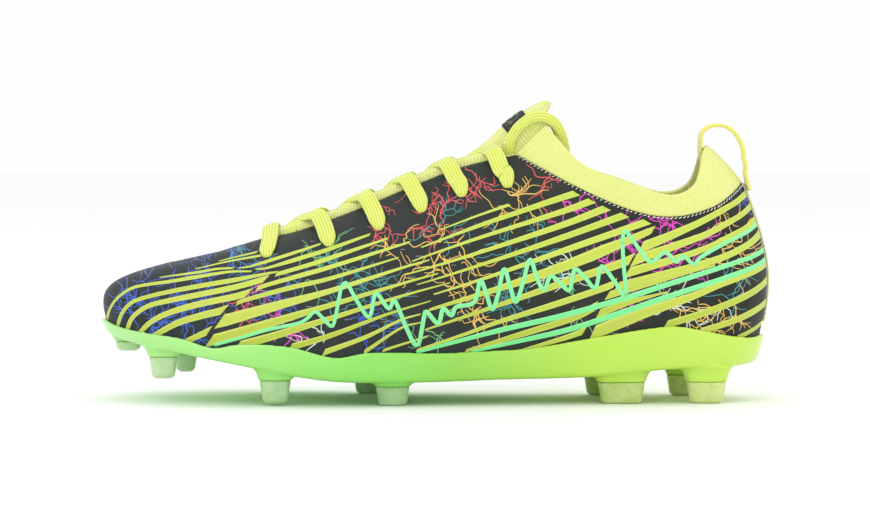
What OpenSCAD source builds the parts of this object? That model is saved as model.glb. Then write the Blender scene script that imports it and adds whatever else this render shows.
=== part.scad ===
// Moulded-stud soccer cleat, left shoe: sole plate with eleven stud tips, laced upper,
// knit collar and tongue, heel pull loop, footbed layers and one lace.
// Frame: toe at -X, heel at +X, lateral side at -Y, ground at z = 0.

/* [Shoe] */
// Overall length of the shoe
shoe_l = 282; // [250:1:310]
// Overall width across the forefoot
shoe_w = 93; // [84:1:102]

/* [Upper layers] */
// Thickness of the printed outer skin
skin_t = 1.2; // [0.8:0.1:1.3]
// Thickness of the stiffeners and pads between skin and lining
filler_t = 1.2; // [0.8:0.1:1.3]
// Thickness of the inner lining
lining_t = 0.8; // [0.6:0.1:1.2]
// Extra depth of the ankle pads
pad_extra = 2.4; // [1:0.1:3]
// Diameter of each lace eyelet
eyelet_d = 3.4; // [3:0.1:4]

/* [Footbed] */
// Thickness of the lasting board
board_t = 1.5; // [1:0.1:2]
// Thickness of the sockliner foam
foam_t = 3; // [2:0.1:4]
// Thickness of the sockliner top cloth
cover_t = 0.7; // [0.5:0.1:1]

/* [Sole plate] */
// Thickness of the plate's side wall
wall_t = 1.7; // [1.2:0.1:2.5]
// Flare of a stud's base where it joins the plate
stud_flare = 2.6; // [1.5:0.1:4]
// Draft of a stud tip's sides, in degrees
stud_draft = 9; // [5:1:12]

/* [Collar, tongue and loop] */
// Thickness of the knit collar
collar_t = 3.3; // [2.5:0.1:4]
// Half width of the tongue
tongue_hw = 17; // [14:0.5:18]
// Thickness of the tongue
tongue_t = 2.4; // [2:0.1:3]
// Width of the pull-loop webbing
loop_w = 9; // [7:0.5:11]
// Thickness of the pull-loop webbing
loop_t = 1.4; // [1:0.1:1.8]

/* [Lace] */
// Thickness of the lace where it is held
lace_d = 3; // [2.5:0.1:3.4]
// Length of each lace tip
aglet_l = 22; // [15:1:25]

/* [Hidden] */

kx = shoe_l / 282;
ky = shoe_w / 93;

// Stations along the feather line, heel centre to toe tip:
// [x, lateral half width, medial half width, rise, lean, reach, top slope]
STATIONS = [
  [134.5, 0, 0, 34, 15, 34, 70],
  [128, 17.5, 17.5, 32, 13, 32, 72],
  [113.5, 27.5, 27, 28, 10, 28, 76],
  [95, 31, 30, 24, 8, 24, 80],
  [76, 32, 30, 24, 7, 26, 80],
  [55, 33, 28.5, 26, 7, 32, 72],
  [32, 35, 28, 27, 8, 36, 50],
  [12, 37.5, 29.5, 25, 8, 32, 38],
  [-9, 40.5, 33, 22, 9, 29, 32],
  [-31, 43, 37.5, 19, 10, 27, 27],
  [-54, 43.5, 42, 17, 10, 25, 20],
  [-71, 42.5, 43, 15, 10, 25, 12],
  [-87, 39.5, 42.5, 14, 10, 25, 4],
  [-104, 33.5, 40, 13.5, 10, 24, 5],
  [-118.5, 25, 34.5, 13.5, 13, 25, 7],
  [-130.5, 14.5, 26.5, 14, 17, 26, 10],
  [-137, 3.5, 16.5, 14.5, 20, 27, 13],
  [-138.4, -6, 6, 15, 20, 28, 14],
];
half = len(STATIONS) - 1;
loop = 2 * half;

// Top line of the skin: collar seam, throat edge and vamp ridge, one point per station
COLLAR = [[129.3, 0, 91.3], [124.5, 11.5, 86.8], [115.5, 20.5, 81.2], [100, 27.5, 77.6],
          [83, 29.8, 79.8], [60, 27.5, 89.2], [33.5, 16, 103.2]];
THROAT = [[33.5, 16, 103.2], [12, 13.8, 98.3], [-9, 13.2, 90.3], [-31, 12.6, 81],
          [-54, 11.8, 72.4], [-68, 9, 68.8], [-73.5, 0, 67.6]];
RIDGE = [[-73.5, 0, 67.6], [-84, 0.6, 64.4], [-93, 1.6, 61.7], [-101, 2.6, 60],
         [-107, 3.4, 58.6], [-112, 4, 57.6]];
throat_end = 12;
collar_end = 6;
ridge_tilt = 14;

// Heights along x: feather line, top and bottom edge of the plate
FEATHER = [[-145, 35.5], [-137, 32], [-122, 27.5], [-97, 23], [-76, 19.2], [-57, 16], [-38, 13.6],
           [-6, 13], [27, 14], [65, 15.5], [97, 17.5], [125, 18.6], [140, 19]];
PLATE_TOP = [[-141, 35], [-131, 31.6], [-117, 29.4], [-105, 28], [-91, 24.3], [-82, 25.8], [-70, 26],
             [-58, 24.8], [-41, 20.7], [-28, 22.7], [0, 22.4], [16, 22.8], [40, 24.2], [65, 28.4],
             [93, 32.8], [102, 32.6], [121, 28.6], [130, 27.4], [141, 29]];
PLATE_BASE = [[-141, 29], [-134, 26.5], [-124, 24.4], [-97, 19.8], [-76, 16], [-57, 12.4], [-38, 10.2],
              [-6, 9.9], [27, 10.7], [65, 11.6], [98, 14.6], [131, 15.4], [141, 16]];

// Collar's upper edge, one point per station from the heel to the front corner
COLLAR_TOP = [[114.8, 0, 107.6], [113, 11, 104.4], [108.5, 21, 91.6], [97.5, 25.6, 87.2],
              [80, 27.6, 92.4], [61, 24.6, 100], [46, 16.8, 115.6]];

// Centre of the tongue: [x, z, half width share, crown share]
TONGUE = [[-84, 57.6, 0.8, 0.8], [-74, 61.6, 0.86, 0.84], [-62, 67.8, 0.94, 0.9], [-54, 72, 1, 1],
          [-31, 82.6, 1, 1], [-9, 92.4, 1, 1], [8, 99.8, 1, 1], [17, 105.2, 0.8, 0.94],
          [24, 111, 0.55, 0.72]];
TONGUE_TOP = [[27.6, 114.4, 0.57, 0.62], [32, 117.8, 0.62, 0.58], [37, 121.4, 0.64, 0.54],
              [43, 124.7, 0.64, 0.46], [48, 126.3, 0.56, 0.36]];
tongue_crown = 14;

// Pull loop's centreline in the heel's middle plane: [x, z]
LOOP_FREE = [[111.6, 110.6], [112.4, 112.6], [114.6, 114.6], [118, 115.4], [122, 114.9], [125.5, 112.7],
             [128.3, 108.6], [129.6, 104.8], [129.9, 101.8]];
LOOP_FRONT = [[112.6, 99.4], [111.8, 102], [111.4, 104.8], [111.5, 107.4]];
LOOP_REAR = [[130.6, 98], [130.5, 95], [131, 92.6]];

// Studs: [x, y, length, width, ground height, tip height, tilt]
LATERAL_STUDS = [[-113, -21, 12, 9, 10.4, 9, 12], [-66, -34, 13, 10, 1.2, 9.4, 4],
                 [-17.5, -32.5, 14, 10.5, 0, 8, 0], [77.5, -22.5, 19.5, 11, 0, 9, 0],
                 [113, -20, 16.5, 11, 0, 9, 0]];
MEDIAL_STUDS = [[-130, 10, 11, 8, 19.8, 4, 18], [-107, 29, 10, 8.5, 9.4, 7.5, 11],
                [-68, 34, 13, 10, 1.2, 9.4, 4], [-28, 29, 14, 10.5, 0, 8, 0],
                [73, 21, 19, 11, 0, 9, 0], [107, 19.5, 16.5, 11, 0, 9, 0]];

// Eyelets: [station, share of the way up the skin], toe end first
EYELETS = [[11, 0.8], [9.55, 0.815], [8.7, 0.83], [7.9, 0.85], [7.1, 0.87], [6.2, 0.89]];

// Free lace ends, from the last eyelet over the collar's front and down into the shoe
TAIL = [[30, 12.2, 96], [30.4, 11.6, 100], [30.7, 12.9, 103.6], [31.3, 14.1, 108.8], [33.6, 14.4, 113.2],
        [36.4, 14.6, 116.2], [40, 14.6, 118.6], [44.5, 14.2, 119.2], [48.6, 13.6, 117.6], [51.6, 12.8, 114],
        [53.4, 12, 109], [54.6, 11.6, 102], [55.6, 11.5, 93], [56.4, 11.6, 84], [57, 11.9, 75],
        [57.4, 12.2, 66], [57.2, 12.5, 56], [56, 12.4, 46], [53, 12.1, 37], [47.6, 11.9, 29], [40, 12, 24],
        [32, 12.3, 22.2], [31, 12.4, 22.2]];

// ---- curves ----

function mirror_y(p) = [p.x, -p.y, p.z];
function unit(p) = p / norm(p);
function spline(a, b, c, d, t) =
  0.5 * (2 * b + (c - a) * t + (2 * a - 5 * b + 4 * c - d) * t * t + (3 * b - a - 3 * c + d) * t * t * t);
function bezier(c, v) =
  pow(1 - v, 3) * c[0] + 3 * v * pow(1 - v, 2) * c[1] + 3 * v * v * (1 - v) * c[2] + pow(v, 3) * c[3];

// Point at parameter s of a list, with a phantom point before and after its ends
function along(pts, s, before = undef, after = undef) =
  let (n = len(pts) - 1, i = max(0, min(floor(s), n - 1)))
  let (a = i > 0 ? pts[i - 1] : (is_undef(before) ? 2 * pts[0] - pts[1] : before))
  let (d = i + 2 <= n ? pts[i + 2] : (is_undef(after) ? 2 * pts[n] - pts[n - 1] : after))
  spline(a, pts[i], pts[i + 1], d, s - i);

// Smooth height at x from a list of [x, z]
function last_below(tab, x, i = 0) = i + 2 < len(tab) && tab[i + 1][0] <= x ? last_below(tab, x, i + 1) : i;
function slope_at(tab, i) =
  let (a = tab[max(i - 1, 0)], b = tab[min(i + 1, len(tab) - 1)]) (b[1] - a[1]) / (b[0] - a[0]);
function height(tab, x_real) =
  let (x = x_real / kx, i = last_below(tab, x), h = tab[i + 1][0] - tab[i][0])
  let (t = max(0, min(1, (x - tab[i][0]) / h)), t2 = t * t, t3 = t2 * t)
  (2 * t3 - 3 * t2 + 1) * tab[i][1] + (t3 - 2 * t2 + t) * h * slope_at(tab, i)
  + (3 * t2 - 2 * t3) * tab[i + 1][1] + (t3 - t2) * h * slope_at(tab, i + 1);

// ---- the skin's surface: w runs heel, lateral, toe, medial; v runs from feather line to top ----

function wrap(w) = w - loop * floor(w / loop);
function station(w) = let (m = wrap(w)) m <= half ? m : loop - m;
function side(w) = wrap(w) <= half ? -1 : 1;
function ring_row(k) =
  let (m = wrap(k), r = STATIONS[m <= half ? m : loop - m])
  [r[0] * kx, (m <= half ? -r[1] : r[2]) * ky, r[3], r[4], r[5], r[6]];
function row(w) =
  let (i = floor(w)) spline(ring_row(i - 1), ring_row(i), ring_row(i + 1), ring_row(i + 2), w - i);
function outward(w) =
  let (a = row(w - 0.1), b = row(w + 0.1)) unit([-(b[1] - a[1]), b[0] - a[0], 0]);
function foot(w) = let (r = row(w)) [r[0], r[1], height(FEATHER, r[0])];
function scaled(p) = [p.x * kx, p.y * ky, p.z];

function crest(w) =
  let (u = station(w), s = side(w))
  let (p = u <= collar_end ? along(COLLAR, u, before = mirror_y(COLLAR[1]))
         : u <= throat_end ? along(THROAT, u - collar_end, after = mirror_y(THROAT[5]))
         : along(RIDGE, u - throat_end))
  scaled(u < throat_end ? [p.x, p.y * s, p.z] : p);

function crest_normal(w) =
  let (a = row(w)[5]) station(w) >= throat_end ? [-sin(ridge_tilt), 0, cos(ridge_tilt)]
                                               : outward(w) * sin(a) + [0, 0, cos(a)];
function controls(w, d) =
  let (r = row(w), h = outward(w), b = foot(w) + d * h, t = crest(w) + d * crest_normal(w))
  [b, b + r[2] * (h * sin(r[3]) + [0, 0, cos(r[3])]), t + r[4] * (h * cos(r[5]) - [0, 0, sin(r[5])]), t];
function skin_at(w, v, d) = bezier(controls(w, d), v);

// ---- the common grid: every layer of the upper uses these steps, so the layers nest ----

steps_w = 68;
steps_v = 9;
function w_of(i) = i * loop / steps_w;
function v_of(j) = j / steps_v;
function grid(i0, i1, j0, j1, depth) =
  [for (i = [i0:i1]) [for (j = [j0:j1]) skin_at(w_of(i), v_of(j), depth(w_of(i), v_of(j)))]];

gap = 0.2;
under_skin = -skin_t - gap;
filler_in = under_skin - filler_t;
lining_out = filler_in - gap;

// The ankle pads swell inward over part of the quarter
function bump(x, lo, hi) = x <= lo || x >= hi ? 0 : pow(sin(180 * (x - lo) / (hi - lo)), 2);
function pad_depth(w, v) = pad_extra * bump(station(w), 1, 6) * bump(v, 0.3, 1.12);

function flat(rows) = [for (r = rows) each r];

// A closed solid between two grids of points
module sheet(outer, inner) {
  nr = len(outer);
  nc = len(outer[0]);
  base = nr * nc;
  function at(i, j) = i * nc + j;
  polyhedron(
    points = concat(flat(outer), flat(inner)),
    faces = concat(
      [for (i = [0:nr - 2], j = [0:nc - 2]) each [
        [at(i, j), at(i + 1, j), at(i + 1, j + 1)], [at(i, j), at(i + 1, j + 1), at(i, j + 1)],
        [base + at(i, j), base + at(i + 1, j + 1), base + at(i + 1, j)],
        [base + at(i, j), base + at(i, j + 1), base + at(i + 1, j + 1)]]],
      [for (i = [0:nr - 2]) each [
        [at(i, 0), base + at(i, 0), base + at(i + 1, 0)], [at(i, 0), base + at(i + 1, 0), at(i + 1, 0)],
        [at(i, nc - 1), base + at(i + 1, nc - 1), base + at(i, nc - 1)],
        [at(i, nc - 1), at(i + 1, nc - 1), base + at(i + 1, nc - 1)]]],
      [for (j = [0:nc - 2]) each [
        [at(0, j), at(0, j + 1), base + at(0, j + 1)], [at(0, j), base + at(0, j + 1), base + at(0, j)],
        [at(nr - 1, j), base + at(nr - 1, j + 1), at(nr - 1, j + 1)],
        [at(nr - 1, j), base + at(nr - 1, j), base + at(nr - 1, j + 1)]]]));
}

// A tube through rings of points, closed by a cap at each end
module tube(rings) {
  n = len(rings);
  m = len(rings[0]);
  polyhedron(
    points = flat(rings),
    faces = concat(
      [for (i = [0:n - 2], j = [0:m - 1]) each [
        [i * m + j, i * m + (j + 1) % m, (i + 1) * m + (j + 1) % m],
        [i * m + j, (i + 1) * m + (j + 1) % m, (i + 1) * m + j]]],
      [for (j = [1:m - 2]) each [
        [0, j + 1, j], [(n - 1) * m, (n - 1) * m + j, (n - 1) * m + j + 1]]]));
}

// ---- full upper shells: one wall all round, joined along the vamp ridge ----

ridge_from = throat_end * steps_w / loop;
mid_i = steps_w / 2;

// Place of a grid point in the list: the ridge's points are shared by both sides
function shell_at(i, j) =
  let (k = i % steps_w)
  j < steps_v ? k * steps_v + j
  : steps_w * steps_v + (k > mid_i && steps_w - k >= ridge_from ? steps_w - k : k);

module upper_shell(out, in) {
  body = grid(0, steps_w - 1, 0, steps_v - 1, out);
  crown = [for (i = [0:steps_w - 1]) skin_at(w_of(i), 1, out(w_of(i), 1))];
  body_in = grid(0, steps_w - 1, 0, steps_v - 1, in);
  crown_in = [for (i = [0:steps_w - 1]) skin_at(w_of(i), 1, in(w_of(i), 1))];
  base = steps_w * (steps_v + 1);
  open_edge = [for (i = [0:steps_w - 1]) if (i < ridge_from || i >= steps_w - ridge_from) i];
  polyhedron(
    points = concat(flat(body), crown, flat(body_in), crown_in),
    faces = concat(
      [for (i = [0:steps_w - 1], j = [0:steps_v - 1])
        let (a = shell_at(i, j), b = shell_at(i + 1, j), c = shell_at(i + 1, j + 1), d = shell_at(i, j + 1))
        each [[a, b, c], [a, c, d], [base + a, base + c, base + b], [base + a, base + d, base + c]]],
      [for (i = [0:steps_w - 1])
        let (a = shell_at(i, 0), b = shell_at(i + 1, 0))
        each [[a, base + a, base + b], [a, base + b, b]]],
      [for (i = open_edge)
        let (a = shell_at(i, steps_v), b = shell_at(i + 1, steps_v))
        each [[a, base + b, base + a], [a, b, base + b]]]));
}

function eyelet_point(k, s, d) =
  let (e = EYELETS[k], w = s < 0 ? e[0] : loop - e[0]) skin_at(w, e[1], d);

module eyelet_drills() {
  for (k = [0:5], s = [-1, 1]) {
    a = eyelet_point(k, s, 3);
    b = eyelet_point(k, s, -7);
    dir = b - a;
    translate(a)
      rotate([0, acos(dir.z / norm(dir)), atan2(dir.y, dir.x)])
        cylinder(h = norm(dir), d = eyelet_d, $fn = 24);
  }
}

module upper_skin() {
  color([0.17, 0.2, 0.18])
    difference() {
      upper_shell(function (w, v) 0, function (w, v) -skin_t);
      eyelet_drills();
    }
}

module upper_lining() {
  color([0.2, 0.2, 0.2])
    difference() {
      upper_shell(function (w, v) lining_out - pad_depth(w, v),
                  function (w, v) lining_out - lining_t - pad_depth(w, v));
      eyelet_drills();
    }
}

module filler(i0, i1, j0, j1) {
  sheet(grid(i0, i1, j0, j1, function (w, v) under_skin),
        grid(i0, i1, j0, j1, function (w, v) filler_in));
}

module toe_puff() { color([0.75, 0.7, 0.6]) filler(27, 41, 0, 6); }
module heel_counter() { color([0.75, 0.7, 0.6]) filler(-7, 7, 0, 5); }

module eyestay_facing(i0, i1) {
  color([0.12, 0.12, 0.12])
    difference() {
      filler(i0, i1, 6, 9);
      eyelet_drills();
    }
}

module ankle_pad(i0, i1) {
  color([0.9, 0.85, 0.5])
    sheet(grid(i0, i1, 5, 8, function (w, v) under_skin),
          grid(i0, i1, 5, 8, function (w, v) filler_in - pad_depth(w, v)));
}

// ---- footbed layers: slabs that follow the feather line ----

module footbed(lo, hi, inset) {
  rim = [for (i = [0:steps_w - 1]) foot(w_of(i)) - inset * outward(w_of(i))];
  n = steps_w;
  function up(i) = n + i % n;
  polyhedron(
    points = concat([for (p = rim) p + [0, 0, lo]], [for (p = rim) p + [0, 0, hi]]),
    faces = concat(
      [for (i = [0:n - 1]) each [[i, (i + 1) % n, up(i + 1)], [i, up(i + 1), up(i)]]],
      [for (i = [0:mid_i - 1])
        let (l = i, l2 = i + 1, m = (n - i) % n, m2 = n - i - 1)
        each concat(
          l == m ? [] : [[l, m, m2], [n + l, n + m2, n + m]],
          l2 == m2 ? [] : [[l, m2, l2], [n + l, n + l2, n + m2]])]));
}

board_lo = 0.2;
foam_lo = board_lo + board_t + gap;
cover_lo = foam_lo + foam_t + gap;
lining_clear = 5;

module insole_board() { color([0.85, 0.82, 0.72]) footbed(board_lo, board_lo + board_t, lining_clear); }
module sockliner_foam() { color([0.3, 0.3, 0.3]) footbed(foam_lo, foam_lo + foam_t, lining_clear); }
module sockliner_cover() { color([0.8, 0.9, 0.3]) footbed(cover_lo, cover_lo + cover_t, lining_clear); }

// ---- sole plate: a shallow tray with a wall up the side of the upper ----

// Share of the way up the skin at which it reaches height z
function v_at(w, z, lo = 0, hi = 1, n = 14) =
  n == 0 ? (lo + hi) / 2
  : let (m = (lo + hi) / 2) skin_at(w, m, 0).z < z ? v_at(w, z, m, hi, n - 1) : v_at(w, z, lo, m, n - 1);

wall_gap = 0.35;
function plate_profile(w) =
  let (vt = v_at(w, height(PLATE_TOP, row(w)[0])), f = foot(w), h = outward(w))
  let (zb = height(PLATE_BASE, f.x), out = wall_gap + wall_t)
  [f + wall_gap * h - [0, 0, gap],
   skin_at(w, vt * 0.33, wall_gap), skin_at(w, vt * 0.66, wall_gap), skin_at(w, vt * 0.97, wall_gap),
   skin_at(w, vt, wall_gap + 0.35 * wall_t), skin_at(w, vt * 0.96, wall_gap + 0.75 * wall_t),
   skin_at(w, vt * 0.66, out), skin_at(w, vt * 0.33, out + 0.1), f + (out - 0.2) * h,
   [f.x - 0.6 * h.x, f.y - 0.6 * h.y, (f.z + 2 * zb) / 3], [f.x - 4 * h.x, f.y - 4 * h.y, zb]];

module plate_tray() {
  walls = [for (i = [0:steps_w - 1]) plate_profile(w_of(i))];
  m = len(walls[0]);
  n = steps_w;
  function at(i, j) = (i % n) * m + j;
  polyhedron(
    points = flat(walls),
    faces = concat(
      [for (i = [0:n - 1], j = [0:m - 2]) each [
        [at(i, j), at(i, j + 1), at(i + 1, j + 1)], [at(i, j), at(i + 1, j + 1), at(i + 1, j)]]],
      [for (i = [0:mid_i - 1], j = [0, m - 1])
        let (l = at(i, j), l2 = at(i + 1, j), r = at(n - i, j), r2 = at(n - i - 1, j))
        each concat(
          l == r ? [] : [j == 0 ? [l, r2, r] : [l, r, r2]],
          l2 == r2 ? [] : [j == 0 ? [l, l2, r2] : [l, r2, l2]])]));
}

module pad_outline(l, w) {
  hull()
    for (sx = [-1, 1], sy = [-1, 1])
      translate([sx * (l / 2 - w / 4), sy * w / 4])
        circle(d = w / 2, $fn = 16);
}

// Green base that carries a tip, from the tip's top face up into the plate
module stud_base(s) {
  top = height(PLATE_BASE, s[0] * kx) + 1.2;
  tip_top = s[4] + s[5];
  hull() {
    translate([s[0] * kx, s[1] * ky, tip_top])
      linear_extrude(0.3)
        pad_outline(s[2] + 0.8, s[3] + 0.8);
    translate([s[0] * kx, s[1] * ky, top])
      rotate([0, s[6], 0])
        linear_extrude(0.3)
          pad_outline(s[2] + 2 * stud_flare, s[3] + 2 * stud_flare);
  }
}

module outsole_plate() {
  color([0.69, 0.92, 0.47])
    union() {
      plate_tray();
      for (s = LATERAL_STUDS)
        stud_base(s);
      for (s = MEDIAL_STUDS)
        stud_base(s);
    }
}

// A stud tip: a block with drafted sides and bevelled foot corners, narrower at the ground
function tip_outline(l, h) =
  let (b = l / 2 - h * tan(stud_draft), c = 1.2)
  [[-l / 2, h], [-b, c], [-b + c, 0], [b - c, 0], [b, c], [l / 2, h]];
module stud_tip(s) {
  color([0.72, 0.84, 0.66])
    translate([s[0] * kx, s[1] * ky, s[4]])
      intersection() {
        rotate([90, 0, 0])
          linear_extrude(3 * s[3], center = true)
            polygon(tip_outline(s[2], s[5]));
        rotate([90, 0, 90])
          linear_extrude(3 * s[2], center = true)
            polygon(tip_outline(s[3], s[5]));
      }
}

// ---- knit collar: a padded band from the lateral front corner round the heel ----

function collar_low(t) = let (w = -t) crest(w);
function collar_high(t) =
  let (p = along(COLLAR_TOP, abs(t), before = mirror_y(COLLAR_TOP[1]))) scaled([p.x, p.y * sign(t), p.z]);
function collar_ring(t) =
  let (e = 0.1, lo = collar_low(t), hi = collar_high(t), up = hi - lo)
  let (run = collar_low(min(t + e, 6)) - collar_low(max(t - e, -6)))
  let (n = unit(cross(run, up)), rise = unit(up), foot = lo + 0.5 * rise)
  [foot - 0.1 * n, foot + 0.35 * up + 0.5 * n, foot + 0.7 * up + 0.3 * n, hi - 0.9 * rise - 0.4 * n,
   hi - 0.3 * collar_t * n, hi - 0.65 * collar_t * n, hi - 0.9 * rise - (collar_t - 0.3) * n,
   foot + 0.6 * up - collar_t * n, foot + 0.3 * up - collar_t * n, foot + 0.7 * rise - (collar_t - 0.3) * n];

module collar_knit() {
  color([0.94, 0.97, 0.6])
    tube([for (k = [-12:12]) collar_ring(k / 2)]);
}

// ---- heel strip and pull loop ----

module heel_strip() {
  function strip(d) =
    [for (y = [-1.2, 0, 1.2]) [for (j = [3:9]) skin_at(0, v_of(j) - 0.005, 0) + [d - 0.02 * y * y, y, 0]]];
  color([0.92, 0.9, 0.6])
    sheet(strip(0.3), strip(1));
}

function ribbon_normal(pts, i) =
  let (a = pts[max(i - 1, 0)], b = pts[min(i + 1, len(pts) - 1)]) unit([-(b[1] - a[1]), b[0] - a[0]]);
function ribbon_edge(pts, y, d) =
  [for (i = [0:len(pts) - 1]) let (q = pts[i] + d * ribbon_normal(pts, i)) [q[0] * kx, y, q[1]]];
module ribbon(pts, w, t) {
  sheet([for (y = [-w / 2, 0, w / 2]) ribbon_edge(pts, y, t / 2)],
        [for (y = [-w / 2, 0, w / 2]) ribbon_edge(pts, y, -t / 2)]);
}

module heel_loop_anchor() {
  color([0.93, 0.9, 0.45])
    union() {
      ribbon(LOOP_FRONT, loop_w, loop_t);
      ribbon(LOOP_REAR, loop_w, loop_t);
    }
}
module heel_pull_loop() { color([0.93, 0.88, 0.4]) ribbon(LOOP_FREE, loop_w, loop_t); }

// ---- tongue ----

function tongue_point(tab, i, q, drop) =
  let (n = ribbon_normal([for (r = tab) [r[0], r[1]]], i), r = tab[i])
  let (sink = tongue_crown * r[3] * q * q + drop * (1 - 0.5 * q * q))
  [(r[0] - sink * n[0]) * kx, tongue_hw * r[2] * q * ky, r[1] - sink * n[1]];
function tongue_grid(tab, drop, q_max = 1) =
  [for (q = [-4:4]) [for (i = [0:len(tab) - 1]) tongue_point(tab, i, q * q_max / 4, drop)]];

module tongue() { color([0.84, 0.84, 0.43]) sheet(tongue_grid(TONGUE, 0), tongue_grid(TONGUE, tongue_t)); }
module tongue_top() {
  color([0.96, 0.97, 0.6])
    sheet(tongue_grid(TONGUE_TOP, 0), tongue_grid(TONGUE_TOP, tongue_t));
}
module tongue_label() {
  tab = [TONGUE_TOP[0], TONGUE_TOP[1], TONGUE_TOP[2]];
  color([0.1, 0.1, 0.1])
    sheet(tongue_grid(tab, -0.9, 0.8), tongue_grid(tab, -0.25, 0.8));
}

// ---- lace ----

function circle_ring(p, dir, r, n) =
  let (side = unit(cross(dir, abs(dir.z) > 0.9 * norm(dir) ? [1, 0, 0] : [0, 0, 1])),
       up = unit(cross(side, dir)))
  [for (k = [0:n - 1]) p + r * (cos(360 * k / n) * side + sin(360 * k / n) * up)];
module cord(pts, r, n) {
  last = len(pts) - 1;
  tube([for (i = [0:last]) circle_ring(pts[i], pts[min(i + 1, last)] - pts[max(i - 1, 0)], r, n)]);
}

function edge_point(k, s, d) = let (e = EYELETS[k], w = s < 0 ? e[0] : loop - e[0]) skin_at(w, 1, d);
function cross_point(k, lift) =
  let (x = (edge_point(k, 1, 0).x + edge_point(k + 1, 1, 0).x) / 2) [x, 0, height(TONGUE, x) + lift];

// One crossing: under the near edge at row k, over the throat, into the far eyelet of row k + 1
function crossing(k, s, lift) =
  [eyelet_point(k, s, -7.5) + [2, 0, 0], edge_point(k, s, -6.8) + [4.5, 0, 0], cross_point(k, lift),
   edge_point(k + 1, -s, 2.2) + [-2, 0, 0], eyelet_point(k + 1, -s, 2.4), eyelet_point(k + 1, -s, -3)];
function reversed(a) = [for (i = [len(a) - 1:-1:0]) a[i]];

function lace_half(s) =
  [for (k = [0:4]) each crossing(k, k % 2 == 0 ? s : -s, (k % 2 == 0 ? s : -s) > 0 ? 5.2 : 1.8)];
function lace_route() =
  concat(reversed(lace_half(1)),
         [eyelet_point(0, 1, -3), eyelet_point(0, 1, 2.4), [-78, 0, 71.5], eyelet_point(0, -1, 2.4),
          eyelet_point(0, -1, -3)],
         lace_half(-1));

module lace() { color([0.9, 0.93, 0.45]) cord(lace_route(), lace_d / 2, 8); }

function tail_point(p, s) = [p.x * kx, p.y * s, p.z];
module lace_tail(s) {
  color([0.9, 0.93, 0.45])
    cord(concat([eyelet_point(5, s, -3.2), eyelet_point(5, s, -6.4)], [for (p = TAIL) tail_point(p, s)]),
         lace_d / 2, 8);
}
module aglet(s) {
  end = tail_point(TAIL[len(TAIL) - 1], s);
  color([0.85, 0.9, 0.5])
    translate(end)
      rotate([0, -90, 0])
        cylinder(h = aglet_l, d = lace_d, $fn = 24);
}

outsole_plate();
for (k = [1:5])
  stud_tip(LATERAL_STUDS[k - 1]);
for (k = [1:6])
  stud_tip(MEDIAL_STUDS[k - 1]);
insole_board();
sockliner_foam();
sockliner_cover();
upper_skin();
upper_lining();
toe_puff();
heel_counter();
eyestay_facing(12, 23);  // eyestay_facing_lateral
eyestay_facing(steps_w - 23, steps_w - 12);  // eyestay_facing_medial
ankle_pad(3, 11);  // ankle_pad_lateral
ankle_pad(steps_w - 11, steps_w - 3);  // ankle_pad_medial
collar_knit();
heel_strip();
heel_loop_anchor();
heel_pull_loop();
tongue();
tongue_top();
tongue_label();
lace();
lace_tail(-1);  // lace_tail_lateral
lace_tail(1);  // lace_tail_medial
aglet(-1);  // aglet_lateral
aglet(1);  // aglet_medial
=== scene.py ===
import math
import random

import bmesh
import bpy
import numpy as np
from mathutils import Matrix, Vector
from mathutils.kdtree import KDTree


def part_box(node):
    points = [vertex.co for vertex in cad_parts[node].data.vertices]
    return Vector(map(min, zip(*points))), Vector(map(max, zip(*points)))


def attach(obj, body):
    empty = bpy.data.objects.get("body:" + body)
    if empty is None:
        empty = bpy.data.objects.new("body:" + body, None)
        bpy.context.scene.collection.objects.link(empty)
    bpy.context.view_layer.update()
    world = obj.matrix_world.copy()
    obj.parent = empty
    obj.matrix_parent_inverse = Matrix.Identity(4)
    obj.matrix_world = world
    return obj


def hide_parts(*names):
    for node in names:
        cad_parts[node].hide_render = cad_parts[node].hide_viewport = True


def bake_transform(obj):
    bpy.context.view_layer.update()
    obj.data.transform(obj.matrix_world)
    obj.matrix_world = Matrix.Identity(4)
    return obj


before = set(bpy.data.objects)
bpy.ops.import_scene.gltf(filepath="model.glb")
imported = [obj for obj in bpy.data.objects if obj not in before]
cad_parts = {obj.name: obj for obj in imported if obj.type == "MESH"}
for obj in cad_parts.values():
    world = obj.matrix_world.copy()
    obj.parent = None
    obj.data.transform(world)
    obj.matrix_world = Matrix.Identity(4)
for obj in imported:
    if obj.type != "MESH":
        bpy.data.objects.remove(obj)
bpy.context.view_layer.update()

# Left soccer cleat. The frame's units are metres; every table and length below is in millimetres.
# Toe at -X, heel at +X, lateral side at -Y, ground at z = 0.
MM = 0.001
LATERAL = -1
MEDIAL = 1

# ---- camera: level with the shoe, a touch above it, square to its lateral side ----

VIEW_DISTANCE = 1600.0
VIEW_RISE = math.radians(2.6)
VIEW_CENTRE_Z = 61.2
SENSOR_MM = 36.0
LENS_MM = 157.2


def make_camera():
    data = bpy.data.cameras.new("camera")
    data.sensor_width = SENSOR_MM
    data.lens = LENS_MM
    data.dof.use_dof = False
    camera = bpy.data.objects.new("camera", data)
    back = VIEW_DISTANCE * math.cos(VIEW_RISE)
    up = VIEW_DISTANCE * math.sin(VIEW_RISE)
    camera.location = Vector((0, -back, VIEW_CENTRE_Z + up)) * MM
    camera.rotation_euler = (math.radians(90) - VIEW_RISE, 0, 0)
    bpy.context.scene.collection.objects.link(camera)
    bpy.context.scene.camera = camera


make_camera()

# ---- design tables, as in part.scad ----

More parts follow.
